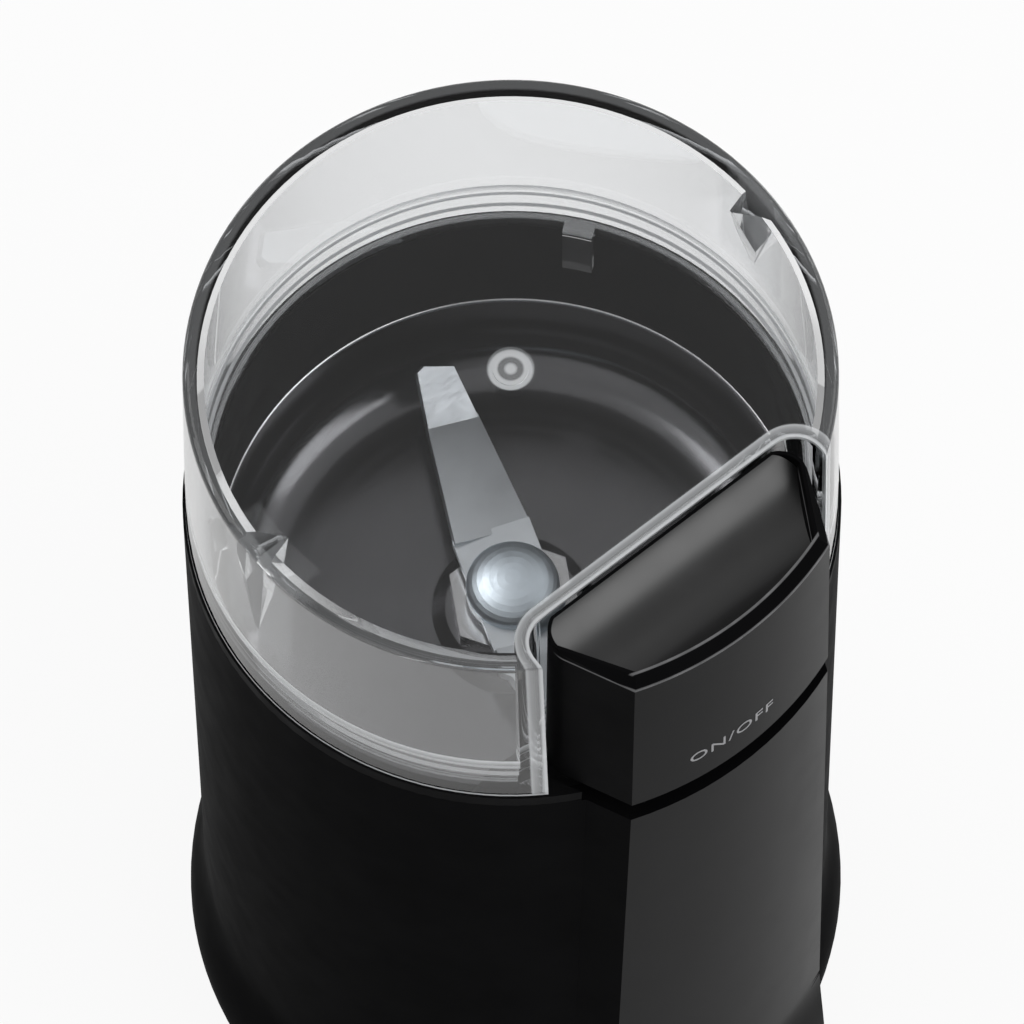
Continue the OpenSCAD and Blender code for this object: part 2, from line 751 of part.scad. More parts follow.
// microswitch case with two fixing holes along Y and three blades below
module switch_case(size, plunger_x, plunger_y, depth, hole_x, hole_z) {
    difference() {
        cube(size);
        translate([plunger_x, plunger_y, size[2] - depth]) cylinder(r = plunger_r + run_fit, h = depth + 1);
        for (x = hole_x) translate([x, -1, hole_z]) rod_y(small_screw_r + run_fit, size[1] + 2);
    }
}

module main_switch() color([0.16, 0.16, 0.17]) {
    translate([main_x, main_y, main_top - main_sw[2]]) {
        switch_case(main_sw, -main_x, post_y - main_y, button_travel + plunger_in + 0.2, main_hole_x,
            main_hole_z);
        for (x = [2, 9, 16]) translate([x, main_sw[1] / 2 - 0.25, -3.5]) cube([2.4, 0.5, 3.5 + eps]);
    }
}

module main_switch_plunger() color("firebrick") {
    low = main_top - plunger_in;
    translate([0, post_y, low]) cylinder(r = plunger_r, h = skirt_z - rib_drop - low);
}

module lid_switch() color([0.16, 0.16, 0.17]) {
    translate([lid_sw_x, lid_sw_y, lid_sw_z]) {
        switch_case(lid_sw, lid_plunger_x - lid_sw_x, lid_sw[1] / 2, lid_travel + lid_plunger_in + 0.2,
            lid_hole_x, lid_hole_z);
        for (x = [1, 5.2, 9.4]) translate([x, lid_sw[1] / 2 - 0.25, -1.5]) cube([1.8, 0.5, 1.5 + eps]);
    }
}

module lid_switch_plunger() color("firebrick") {
    low = lid_sw_z + lid_sw[2] - lid_plunger_in;
    translate([lid_plunger_x, lid_sw_y + lid_sw[1] / 2, low]) cylinder(r = plunger_r, h = slider_z - low);
}

module cross_screw(head_r, head_h, shank_r, shank) {
    difference() {
        cylinder(r = head_r, h = head_h);
        for (a = [0, 90]) rotate([0, 0, a]) translate([-head_r * 0.6, -0.3, head_h - 0.6])
            cube([head_r * 1.2, 0.6, 1]);
    }
    translate([0, 0, -shank]) cylinder(r = shank_r, h = shank + eps);
}

module switch_screws() color(dark_steel) {
    for (x = main_hole_x) translate([main_x + x, main_y, main_top - main_sw[2] + main_hole_z])
        rotate([90, 0, 0]) cross_screw(1.8, 1.2, small_screw_r, main_sw[1] + 2.6);
    for (x = lid_hole_x) translate([lid_sw_x + x, lid_sw_y, lid_sw_z + lid_hole_z])
        rotate([90, 0, 0]) cross_screw(1.8, 1.2, small_screw_r, lid_sw[1] + 1.6);
}

// slider that the lid's flat wall pushes down onto the lid switch
module interlock_slider() color([0.8, 0.8, 0.78]) {
    arm_y = lid_sw_y + lid_sw[1] / 2 - 1.4;
    top = slider_z + slider_t;
    nose_y = -cut_y + 0.2;
    translate([lid_plunger_x - 2, arm_y, slider_z]) cube([4, nose_y - 0.6 - arm_y, slider_t]);
    translate([nose_x, slider_y, slider_z])
        cube([slider_spring_x + 1.8 - nose_x, nose_y - 0.6 - slider_y, slider_t]);
    translate([nose_x, slider_y, top - eps]) cube([nose_w, nose_back_y - slider_y, well_z - 1.2 - top]);
    translate([nose_x, nose_y, top - eps]) cube([nose_w, nose_back_y - nose_y, ledge_z - top + eps]);
}

module interlock_spring() color(steel) {
    translate([slider_spring_x, slider_spring_y, room_z]) coil_spring(1.4, 0.25, slider_z - room_z, 7);
}

// ---- motor ----

module motor_shaft() color(steel) {
    translate([0, 0, shaft_z]) cylinder(r = shaft_r, h = hub_z + hub_h - hub_cover - 0.2 - shaft_z);
}

module armature_core() color(dark_steel) {
    translate([0, 0, stack_z]) difference() {
        cylinder(r = armature_r, h = stack_h);
        translate([0, 0, -1]) cylinder(r = shaft_r + grip_fit, h = stack_h + 2);
        for (i = [0 : slots - 1]) rotate([0, 0, 360 * i / slots]) {
            translate([slot_ring, 0, -1]) cylinder(r = slot_r, h = stack_h + 2, $fn = 32);
            translate([slot_ring, -0.7, -1]) cube([6, 1.4, stack_h + 2]);
        }
    }
}

module armature_winding() color(copper) {
    in = 4.5;
    w = armature_r - 1.8 - in;
    round_r = 3;
    for (s = [0, 1]) translate([0, 0, s ? stack_top : stack_z]) mirror([0, 0, 1 - s])
        rotate_extrude() translate([in, 0]) {
            square([w, wind_over - round_r]);
            square([w - round_r, wind_over]);
            translate([w - round_r, wind_over - round_r]) circle(r = round_r);
        }
    for (i = [0 : slots - 1]) rotate([0, 0, 360 * i / slots])
        translate([slot_ring, 0, stack_z - 1]) cylinder(r = slot_r - 0.1, h = stack_h + 2, $fn = 32);
}

module commutator() color(copper) {
    difference() {
        translate([0, 0, comm_z]) {
            cylinder(r = commutator_r, h = comm_h);
            translate([0, 0, comm_h - eps]) cylinder(r = commutator_r + 2, h = riser_t);
        }
        translate([0, 0, comm_z - 1]) cylinder(r = shaft_r + grip_fit, h = comm_h + 5);
        for (i = [0 : 2 * slots - 1]) rotate([0, 0, 360 * i / (2 * slots)])
            translate([commutator_r - 0.8, -0.25, comm_z - 1]) cube([6, 0.5, comm_h + riser_t + 2]);
    }
}

module cooling_fan() color([0.85, 0.85, 0.82]) {
    translate([0, 0, fan_z]) {
        tube(6, shaft_r + grip_fit, fan_h);
        tube(fan_r - 2, 5.5, 1.2);
        for (i = [0 : fan_blades - 1]) rotate([0, 0, 360 * i / fan_blades])
            translate([5.5, 0, 0.6]) rotate([0, 0, 12]) cube([fan_r - 6, 1.2, fan_h - 0.6]);
    }
}

module sector(r, half) {
    x = 2 * r * cos(half);
    y = 2 * r * sin(half);
    polygon([[0, 0], [x, -y], [2 * r, 0], [x, y]]);
}

module pole_plan() {
    shoe_out = bore_in + shoe_t;
    intersection() {
        difference() {
            circle(r = shoe_out);
            circle(r = bore_in);
        }
        sector(stator_r, 50);
    }
    translate([bore_in + 1, -neck_half]) square([yoke_in - bore_in, 2 * neck_half]);
}

module stator_core() color(dark_steel) {
    translate([0, 0, stack_z]) linear_extrude(stack_h) difference() {
        union() {
            difference() {
                circle(r = stator_r);
                circle(r = yoke_in);
            }
            pole_plan();
            rotate(180) pole_plan();
        }
        circle(r = bore_in);
        for (s = [-1, 1]) translate([0, s * bolt_y]) circle(r = screw_r + seat_fit / 2);
    }
}

// field coil round the right pole
module field_coil() color(copper) {
    mid_z = stack_z + stack_h / 2;
    difference() {
        translate([coil_x, 0, mid_z]) rotate([0, 90, 0]) linear_extrude(coil_t)
            coil_plan(stack_h / 2 + coil_over, coil_half_w, 3);
        translate([coil_x - 1, 0, mid_z]) rotate([0, 90, 0]) linear_extrude(coil_t + 2)
            coil_plan(stack_h / 2 + 0.3, neck_half + 0.3, 0.5);
    }
}

module coil_plan(half_h, half_w, r) {
    translate([-half_h + r, -half_w]) square([2 * (half_h - r), 2 * half_w]);
    translate([-half_h, -half_w + r]) square([2 * half_h, 2 * (half_w - r)]);
    for (i = [-1, 1], j = [-1, 1]) translate([i * (half_h - r), j * (half_w - r)]) circle(r = r);
}

module field_coil_right() field_coil();
module field_coil_left() rotate([0, 0, 180]) field_coil();

module bracket_leg(s, z0, z1) {
    translate([-leg_half, s > 0 ? leg_in : -leg_in - leg_t, z0]) cube([2 * leg_half, leg_t, z1 - z0]);
}

module upper_bracket() color([0.62, 0.63, 0.64]) {
    difference() {
        union() {
            for (s = [-1, 1]) bracket_leg(s, stack_top, bracket_z + bracket_t);
            translate([-leg_half, -leg_in - leg_t, bracket_z])
                cube([2 * leg_half, 2 * (leg_in + leg_t), bracket_t]);
            translate([0, 0, bracket_z]) cylinder(r = 9.8, h = seat_z - bowl_t - 1.4 - bracket_z);
            translate([0, 0, bracket_z]) cylinder(r = neck_r, h = neck_z - bracket_z);
        }
        translate([0, 0, bracket_z - 1]) cylinder(r = bush_r + grip_fit, h = 10);
        translate([0, 0, bracket_z]) cylinder(r = shaft_r + 0.6, h = 40);
        translate([0, 0, neck_z - 2.2]) cylinder(r = 4.7, h = 4);
        for (s = [-1, 1]) translate([0, s * bolt_y, 0]) cylinder(r = screw_r + seat_fit / 2, h = 200);
    }
}

module upper_bearing() color(brass) {
    translate([0, 0, bracket_z + 0.2]) tube(bush_r, shaft_r + run_fit, 8.6);
}

module lower_bearing() color(brass) {
    translate([0, 0, cup_z + 1.2]) tube(bush_r, shaft_r + run_fit, 8.6);
}

module lower_bracket() color([0.62, 0.63, 0.64]) {
    cup_h = 10;
    difference() {
        union() {
            for (s = [-1, 1]) bracket_leg(s, bar_z, stack_z);
            translate([-leg_half, -damper_y - damper_r, bar_z])
                cube([2 * leg_half, 2 * (damper_y + damper_r), bracket_t]);
            translate([0, 0, cup_z]) cylinder(r = 9, h = cup_h);
            for (s = [-1, 1]) translate([0, s * plate_screw_y, bar_z])
                cylinder(r = 3.2, h = brush_plate_top - brush_plate_t - bar_z);
        }
        translate([0, 0, cup_z + 1]) cylinder(r = bush_r + grip_fit, h = cup_h);
        translate([0, 0, cup_z - 1]) cylinder(r = shaft_r + 0.6, h = cup_h);
        for (s = [-1, 1]) {
            translate([0, s * bolt_y, 0]) cylinder(r = screw_r + seat_fit / 2, h = 200);
            translate([0, s * damper_y, 0]) cylinder(r = damper_r - 1.4, h = 60);
            translate([0, s * plate_screw_y, bar_z + 1.5]) cylinder(r = screw_r + run_fit, h = 20);
        }
    }
}

// spring plates that hold the bearing bushes
module bearing_clips() color(steel) {
    translate([0, 0, bracket_z - 0.8]) tube(8.5, shaft_r + 0.7, 0.8);
    translate([0, 0, cup_z + 10]) tube(8.5, shaft_r + 0.7, 0.8);
}

module brush_plate() color([0.32, 0.2, 0.12]) {
    difference() {
        translate([0, 0, brush_plate_top - brush_plate_t]) intersection() {
            cylinder(r = stator_r - 1.5, h = brush_plate_t);
            slab(-1, 10, -leg_in + 0.3, leg_in - 0.3);
        }
        translate([0, 0, 1]) cylinder(r = commutator_r + 2.5, h = 60);
        for (s = [-1, 1]) translate([0, s * plate_screw_y, 1]) cylinder(r = screw_r + run_fit, h = 60);
    }
}

module brush_plate_screws() color(dark_steel) {
    for (s = [-1, 1]) translate([0, s * plate_screw_y, brush_plate_top])
        cross_screw(2.6, 1.6, screw_r, 6);
}

module brush_holder() color(brass) {
    half_w = brush_w / 2 + holder_fit;
    half_h = brush_h / 2 + holder_fit;
    w = holder_wall;
    translate([holder_x, 0, brush_z]) difference() {
        translate([0, -half_w - w, -half_h - w]) cube([holder_len + w, 2 * (half_w + w), 2 * (half_h + w)]);
        translate([-1, -half_w, -half_h]) cube([holder_len + 1, 2 * half_w, 2 * half_h]);
    }
}

module carbon_brush() color([0.1, 0.1, 0.1]) {
    difference() {
        translate([commutator_r - 1, -brush_w / 2, brush_z - brush_h / 2])
            cube([brush_len + 1.1, brush_w, brush_h]);
        translate([0, 0, comm_z]) cylinder(r = commutator_r + 0.1, h = comm_h);
    }
}

module brush_spring() color(steel) {
    x = commutator_r + brush_len + 0.1;
    translate([x, 0, brush_z]) rotate([0, 90, 0])
        coil_spring(1.7, 0.25, holder_x + holder_len - x, 5);
}

module brush_holder_right() brush_holder();
module brush_holder_left() rotate([0, 0, 180]) brush_holder();
module carbon_brush_right() carbon_brush();
module carbon_brush_left() rotate([0, 0, 180]) carbon_brush();
module brush_spring_right() brush_spring();
module brush_spring_left() rotate([0, 0, 180]) brush_spring();

module motor_bolts() color(dark_steel) {
    top = bracket_z + bracket_t;
    for (s = [-1, 1]) translate([0, s * bolt_y, top]) cross_screw(2.7, 2, screw_r, top - bar_z + 3);
}

module motor_nuts() color(dark_steel) {
    for (s = [-1, 1]) translate([0, s * bolt_y, bar_z - 2.4]) difference() {
        cylinder(r = 3.1, h = 2.4, $fn = 6);
        translate([0, 0, -1]) cylinder(r = screw_r + run_fit, h = 5);
    }
}

module motor_dampers() color(rubber) {
    for (s = [-1, 1]) translate([0, s * damper_y, bar_z]) {
        translate([0, 0, -damper_flange]) tube(damper_r, screw_r + 0.3, damper_flange);
        tube(damper_r - 1.5, screw_r + 0.3, bracket_t);
        translate([0, 0, bracket_t]) tube(damper_r, screw_r + 0.3, damper_flange);
    }
}

module damper_screws() color(dark_steel) {
    for (s = [-1, 1]) translate([0, s * damper_y, bar_z + bracket_t + damper_flange])
        cross_screw(3.6, 1.8, screw_r, 16);
}

module thermal_cutout() color("white") {
    translate([-stator_r - 3.6, -4, cutout_z]) cube([3.6, 8, cutout_h]);
}

module suppressor() color([0.75, 0.62, 0.2]) {
    translate([11, 17, deck_z]) cube([13, 6, 11]);
}

module terminal_block() color([0.9, 0.88, 0.8]) {
    translate([block_x, block_y, deck_z]) difference() {
        cube([16, 8, 9]);
        for (x = [4, 12]) translate([x, 4, 4]) cylinder(r = 1.6, h = 6);
    }
}

// ---- leads ----

module lead(points) {
    sweep(smooth(points), lead_r, 8);
}

// point beside the housing's wall at angle a and height z
function by_wall(a, z) = [(body_top_r - 6) * cos(a), (body_top_r - 6) * sin(a), z];

// from the terminal block to the main switch and to the thermal cutout
module supply_leads() color([0.35, 0.2, 0.12]) {
    z0 = deck_z + 3;
    lead([[block_x + 4, block_y - lead_gap, z0], [block_x + 4, block_y - 4, z0],
        [block_x - 3, block_y - 10, z0 + 1], [-36, -6, bar_z - 6],
        by_wall(206, bar_z + 6), by_wall(228, brush_z + 8), [-13, leg_y + 6.8, stack_z + 16],
        [-10, leg_y + 3.8, bracket_z - 3], [-10, leg_y + 0.2, room_z - 19],
        [-11, leg_y, room_z - 8], [-11, leg_y + 0.8, room_z - 1],
        [main_x + 3.2, main_tab_y - 3, main_tab_z - 0.5],
        [main_x + 3.2, main_tab_y - 0.2 - lead_gap, main_tab_z]]);
    lead([[block_x - lead_gap, block_y + 4, z0 + 2], [block_x - 3, block_y + 4, z0 + 2],
        [block_x - 11, block_y, bar_z - 6], [-39, 8, bar_z + 8], [-37, 1, brush_z + 10],
        [-cutout_x, 0, cutout_z - 5], [-cutout_x, 0, cutout_z - lead_gap]]);
}

// from the main switch to the lid switch and on to the right field coil
module switch_leads() color([0.15, 0.15, 0.45]) {
    lead([[main_x + 17.2, main_tab_y - 0.2 - lead_gap, main_tab_z],
        [main_x + 17.2, main_tab_y - 3, main_tab_z - 0.6], [3.6, main_tab_y - 4.6, lid_tab_z + 0.6],
        [6, main_tab_y - 4, lid_tab_z],
        [lid_sw_x + 1.9, lid_tab_y - 3.6, lid_tab_z],
        [lid_sw_x + 1.9, lid_tab_y - 0.2 - lead_gap, lid_tab_z]]);
    lead([[lid_sw_x + 10.3, lid_tab_y - 0.2 - lead_gap, lid_tab_z],
        [lid_sw_x + 10.3, lid_tab_y - 3.6, lid_tab_z],
        [14.5, leg_y + 3, lid_tab_z], [10, leg_y + 0.2, room_z - 3], [9, leg_y, bracket_z + 15],
        [11, leg_y + 2.8, bracket_z + 1], [20, leg_y + 10.8, fan_z],
        [26, -24, fan_z - 3], [22.5, -16, coil_top - 1.5], [coil_mid_x, -14, coil_top - 2],
        [coil_mid_x, -coil_half_w - lead_gap, coil_top - 2]]);
}

// from each field coil to its brush, and from the thermal cutout to the left coil
module motor_leads() color([0.5, 0.1, 0.1]) {
    coil_low = stack_z - coil_over + 4;
    for (s = [1, -1]) rotate([0, 0, 90 - 90 * s])
        lead([[coil_mid_x, -coil_half_w - lead_gap, coil_low],
            [coil_mid_x + 0.2, -coil_half_w - 2.4, coil_low], [25.5, -12, brush_z + 8],
            [28.8, -6, brush_z + 2], [holder_x + holder_len + holder_wall + 1.1, -1, brush_z]]);
    lead([[-cutout_x, 0, cutout_z + cutout_h + lead_gap], [-cutout_x, 0, cutout_z + cutout_h + 4],
        [-31, 8, coil_top - 6], [-24, 13.5, coil_top - 5], [-coil_mid_x, 13, coil_top - 5],
        [-coil_mid_x, coil_half_w + lead_gap, coil_top - 5]]);
}

// ---- housing and base ----

module housing_shell() {
    difference() {
        difference() {
            body_form(sole_z, flange_z, 0);
            body_panel(sole_z - 1, flange_z + 1, body_wall);
        }
        body_round(sole_z - 1, flange_z + 1, body_wall);
    }
}

// the four screw bosses inside the housing's foot, each with a rib to the wall
module boss_places() {
    for (a = [45 : 90 : 315]) rotate([0, 0, a]) translate([boss_ring_r, 0, 0]) children();
}

module housing() color(black) {
    shelf_z = rim_z - bowl_t - seal_rim_t;
    boss_h = 20;
    rib_len = body_r(deck_z + boss_h) - body_wall / 2 - boss_ring_r;
    difference() {
        union() {
            difference() {
                housing_shell();
                intersection() {
                    between_sides(-0.4);
                    slab(well_z, ledge_z, -80, -chord_y);
                }
                snap_ring(seat_fit);
            }
            // shelf that carries the bowl's rim
            translate([0, 0, shelf_z - shelf_t])
                tube(body_r(shelf_z) - body_wall / 2, bowl_r + bowl_t + 0.3, shelf_t, $fn = 120);
            boss_places() translate([0, 0, deck_z]) {
                cylinder(r = boss_r, h = boss_h);
                translate([0, -1, 0]) cube([rib_len, 2, boss_h]);
            }
        }
        boss_places() translate([0, 0, deck_z - 1]) cylinder(r = screw_r + run_fit, h = boss_h - 3);
        translate([0, body_r(cord_z) - 10, cord_z]) rod_y(cord_r + 2, 20);
    }
}

module base_plate() color(black) {
    plan_r = body_r(sole_z) - body_wall - seat_fit;
    difference() {
        union() {
            translate([0, 0, sole_z]) cylinder(r = plan_r, h = base_t, $fn = 120);
            intersection() {
                translate([0, 0, sole_z])
                    cylinder(r = plan_r + panel_out(sole_z), h = base_t, $fn = 120);
                between_sides(body_wall + seat_fit);
                slab(sole_z, deck_z, -80, -25);
            }
            for (s = [-1, 1]) translate([0, s * damper_y, deck_z - eps])
                cylinder(r = damper_r - 0.6, h = bar_z - damper_flange - deck_z + eps);
            translate([-clamp_half, clamp_y - clamp_t / 2, deck_z - eps])
                cube([2 * clamp_half, clamp_t, cord_z - 0.1 - deck_z]);
        }
        for (s = [-1, 1]) translate([0, s * damper_y, bar_z - damper_flange - 12])
            cylinder(r = screw_r + run_fit, h = 40);
        translate([0, clamp_y - 5, cord_z]) rod_y(cord_r - 0.2, 10);
        for (s = [-1, 1]) translate([s * (clamp_half - 2), clamp_y, deck_z + 0.5])
            cylinder(r = clamp_screw_r + run_fit, h = 20);
        boss_places() {
            cylinder(r = screw_r + seat_fit / 2, h = 20);
            cylinder(r = 3.2, h = sole_z + base_sink);
        }
        feet_places() cylinder(r = 2.1, h = 20);
        // air slots
        for (i = [-4 : 4]) translate([i * 5.5 - 1.3, -13, sole_z - 1]) cube([2.6, 26, base_t + 2]);
    }
}

module feet_places() {
    for (a = [25, 155, 205, 335]) rotate([0, 0, a]) translate([foot_ring_r, 0, 0]) children();
}

module base_screws() color(dark_steel) {
    boss_places() translate([0, 0, sole_z + base_sink]) rotate([180, 0, 0])
        cross_screw(2.8, base_sink - 0.2, screw_r, 13);
}

module rubber_feet() color(rubber) {
    feet_places() {
        cylinder(r1 = foot_r - 0.6, r2 = foot_r, h = 1.2);
        translate([0, 0, 1.2 - eps]) cylinder(r = foot_r, h = sole_z - 1.2 + eps);
        translate([0, 0, sole_z - eps]) cylinder(r = 2, h = base_t + 0.2);
        translate([0, 0, deck_z]) cylinder(r = 2.8, h = 1);
    }
}

// rubber inlet for the cord, gripped by the wall
module cord_inlet() color(rubber) {
    lip_r = cord_r + 3;
    in_y = body_r(cord_z - lip_r) - body_wall - 0.1;
    out_y = bulge_r + 0.1;
    difference() {
        union() {
            translate([0, in_y - 1, cord_z]) rod_y(cord_r + 1.9, out_y - in_y + 2);
            translate([0, out_y, cord_z]) rod_y(lip_r, 1.8);
            translate([0, in_y - 1.4, cord_z]) rod_y(lip_r, 1.4);
        }
        translate([0, in_y - 10, cord_z]) rod_y(cord_r, 30);
    }
}

module cord_clamp() color(black) {
    difference() {
        translate([-clamp_half, clamp_y - clamp_t / 2, cord_z + 0.1])
            cube([2 * clamp_half, clamp_t, 5.4]);
        translate([0, clamp_y - 5, cord_z]) rod_y(cord_r - 0.2, 10);
        for (s = [-1, 1]) translate([s * (clamp_half - 2), clamp_y, cord_z - 1])
            cylinder(r = clamp_screw_r + run_fit, h = 20);
    }
}

module clamp_screws() color(dark_steel) {
    for (s = [-1, 1]) translate([s * (clamp_half - 2), clamp_y, cord_z + 5.5])
        cross_screw(1.9, 1.3, clamp_screw_r, 10);
}

lid();
button_cap();
button_spring_left();
button_spring_right();
bowl_collar();
collar_seal();
grinding_bowl();
bowl_gasket();
bowl_nut();
shaft_seal();
blade();
blade_washer();
blade_nut();
main_switch();
main_switch_plunger();
lid_switch();
lid_switch_plunger();
switch_screws();
interlock_slider();
interlock_spring();
motor_shaft();
armature_core();
armature_winding();
commutator();
cooling_fan();
stator_core();
field_coil_left();
field_coil_right();
upper_bracket();
lower_bracket();
upper_bearing();
lower_bearing();
bearing_clips();
brush_plate();
brush_plate_screws();
brush_holder_left();
brush_holder_right();
carbon_brush_left();
carbon_brush_right();
brush_spring_left();
brush_spring_right();
motor_bolts();
motor_nuts();
motor_dampers();
damper_screws();
thermal_cutout();
suppressor();
terminal_block();
supply_leads();
switch_leads();
motor_leads();
housing();
base_plate();
base_screws();
rubber_feet();
cord_inlet();
cord_clamp();
clamp_screws();
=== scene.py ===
import json
import math

import bmesh
import bpy
from mathutils import Matrix, Vector


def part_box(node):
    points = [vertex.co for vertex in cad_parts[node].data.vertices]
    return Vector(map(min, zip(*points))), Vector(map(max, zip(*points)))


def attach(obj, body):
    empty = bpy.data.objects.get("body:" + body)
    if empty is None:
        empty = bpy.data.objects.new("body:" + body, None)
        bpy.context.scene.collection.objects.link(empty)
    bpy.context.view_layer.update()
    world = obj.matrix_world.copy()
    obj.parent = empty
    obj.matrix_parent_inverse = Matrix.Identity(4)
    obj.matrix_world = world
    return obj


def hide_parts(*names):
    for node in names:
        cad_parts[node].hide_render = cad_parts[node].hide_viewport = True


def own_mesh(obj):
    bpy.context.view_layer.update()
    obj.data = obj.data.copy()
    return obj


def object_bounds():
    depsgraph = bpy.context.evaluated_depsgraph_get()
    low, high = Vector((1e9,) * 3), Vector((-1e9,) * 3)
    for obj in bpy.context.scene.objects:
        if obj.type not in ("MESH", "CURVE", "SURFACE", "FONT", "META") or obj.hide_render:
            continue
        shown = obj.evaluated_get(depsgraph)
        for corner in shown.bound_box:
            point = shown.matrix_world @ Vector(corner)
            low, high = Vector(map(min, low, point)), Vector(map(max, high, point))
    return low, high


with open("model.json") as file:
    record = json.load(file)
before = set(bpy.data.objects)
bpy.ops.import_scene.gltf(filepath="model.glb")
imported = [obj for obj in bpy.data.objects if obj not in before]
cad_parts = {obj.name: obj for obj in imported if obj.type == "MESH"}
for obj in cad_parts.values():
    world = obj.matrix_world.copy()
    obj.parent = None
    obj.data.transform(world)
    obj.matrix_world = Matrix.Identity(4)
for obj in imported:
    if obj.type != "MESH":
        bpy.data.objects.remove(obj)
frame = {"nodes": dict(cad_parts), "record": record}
nodes = frame["nodes"]
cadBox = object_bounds()
mm = 0.001
bodyOfNode = {n: b for b, members in frame["record"]["behaviour"]["bodies"].items() for n in members}
slotOfNode = {s["node"]: s["material_slot"] for s in frame["record"]["subparts"]}
print("frame loaded:", len(nodes), "nodes")


def newObject(name, data):
    made = bpy.data.objects.new(name, data)
    bpy.context.scene.collection.objects.link(made)
    return made


def plainMesh(piece):                   # what a piece's modifiers or curves come to
    return bpy.data.meshes.new_from_object(
        piece.evaluated_get(bpy.context.evaluated_depsgraph_get()))


viewpoint = {
    "azimuth": -38.8, "elevation": 64.12, "roll": -0.586, "distance": 1.38,
    "aim": (0, 0, 0.198), "aimPixel": (510.6, 368.8), "focalPixels": 9858.6,
    "imagePixels": 1024, "sensor": 36, "clip": (0.05, 50),
}


def placeCamera(v):
    a, e, roll = (math.radians(v[k]) for k in ("azimuth", "elevation", "roll"))
    back = Vector((math.sin(a) * math.cos(e), -math.cos(a) * math.cos(e), math.sin(e)))
    level = Vector((math.cos(a), math.sin(a), 0))
    above = back.cross(level)
    right = level * math.cos(roll) + above * math.sin(roll)
    up = above * math.cos(roll) - level * math.sin(roll)
    f, half = v["focalPixels"], v["imagePixels"] / 2
    aside, down = (half - p for p in v["aimPixel"])
    facing = (back - right * aside / f + up * down / f).normalized()
    across = (right - facing * right.dot(facing)).normalized()
    turn = Matrix((across, facing.cross(across), facing)).transposed().to_4x4()
    data = bpy.data.cameras.new("camera")
    data.sensor_width = v["sensor"]
    data.lens = v["sensor"] * f / v["imagePixels"]
    data.clip_start, data.clip_end = v["clip"]
    camera = newObject("camera", data)
    camera.matrix_world = Matrix.Translation(Vector(v["aim"]) + back * v["distance"]) @ turn
    bpy.context.scene.camera = camera


# small steps that the finishes and the Geometry Nodes trees share; values are sockets or numbers

def calc(tree, operation, *values):     # one step of arithmetic
    m = tree.nodes.new("ShaderNodeMath")
    m.operation = operation
    for i, v in enumerate(values):
        if isinstance(v, (int, float)):
            m.inputs[i].default_value = v
        else:
            tree.links.new(v, m.inputs[i])
    return m.outputs[0]


def times(tree, first, *others):
    for other in others:
        first = calc(tree, "MULTIPLY", first, other)
    return first


def hypot(tree, x, y):
    return calc(tree, "SQRT", calc(tree, "ADD", times(tree, x, x), times(tree, y, y)))


def axes(tree, place):
    split = tree.nodes.new("ShaderNodeSeparateXYZ")
    tree.links.new(place, split.inputs[0])
    return [split.outputs[k] for k in "XYZ"]


# and those of the finishes alone

def spread(tree, value, low, high, fromLow=0.3, fromHigh=0.7):  # the usual span is that of a noise
    r = tree.nodes.new("ShaderNodeMapRange")
    for k, v in (("From Min", fromLow), ("From Max", fromHigh), ("To Min", low), ("To Max", high)):
        r.inputs[k].default_value = v
    tree.links.new(value, r.inputs["Value"])
    return r.outputs[0]


def rise(tree, value, start, end):      # 0 up to the start, 1 from the end
    return spread(tree, value, 0, 1, start, end)


def fall(tree, value, start, end):      # 1 up to the start, 0 from the end
    return spread(tree, value, 1, 0, start, end)


def peak(tree, value, at, half):        # 1 at a value, falling to 0 at half away from it
    away = calc(tree, "ABSOLUTE", calc(tree, "SUBTRACT", value, at))
    return fall(tree, away, half * 0.5, half)


def shades(tree, value, stops):         # a share read off a ramp; the stops come in rising order
    ramp = tree.nodes.new("ShaderNodeValToRGB")
    elements = ramp.color_ramp.elements
    for i, (at, share) in enumerate(stops):
        stop = elements[i] if i < 2 else elements.new(at)
        stop.position, stop.color = at, (share, share, share, 1)
    tree.links.new(value, ramp.inputs["Fac"])
    return ramp.outputs["Color"]


def noise(tree, vector, scale, detail=3.0):
    n = tree.nodes.new("ShaderNodeTexNoise")
    n.inputs["Scale"].default_value = scale
    n.inputs["Detail"].default_value = detail
    n.inputs["Roughness"].default_value = 0.5
    tree.links.new(vector, n.inputs["Vector"])
    return n.outputs["Fac"]


def bumpFrom(tree, height, depth, strength):
    b = tree.nodes.new("ShaderNodeBump")
    b.inputs["Strength"].default_value = strength
    b.inputs["Distance"].default_value = depth
    tree.links.new(height, b.inputs["Height"])
    return b.outputs[0]


def mixed(tree, share, plain, other):   # one shader turning into another by a share
    mix = tree.nodes.new("ShaderNodeMixShader")
    for i, socket in enumerate((share, plain, other)):
        tree.links.new(socket, mix.inputs[i])
    return mix.outputs[0]


def byRay(tree, seen, mirrored, other):  # a value where it is seen, one in reflections, one for its light
    path = tree.nodes.new("ShaderNodeLightPath")
    through = path.outputs["Is Transmission Ray"]
    after = calc(tree, "MINIMUM", path.outputs["Glossy Depth"], 1.0)    # 1 after any reflection
    plain = times(tree, through, calc(tree, "SUBTRACT", 1.0, after))
    direct = calc(tree, "MAXIMUM", path.outputs["Is Camera Ray"], plain)
    glossy = calc(tree, "MAXIMUM", path.outputs["Is Glossy Ray"], times(tree, through, after))
    parts = calc(tree, "ADD", times(tree, direct, seen - other), times(tree, glossy, mirrored - other))
    return calc(tree, "ADD", parts, other)


def newFinish(name):
    mat = bpy.data.materials.new(name)
    mat.use_nodes = True
    return mat, mat.node_tree, mat.node_tree.nodes["Principled BSDF"]


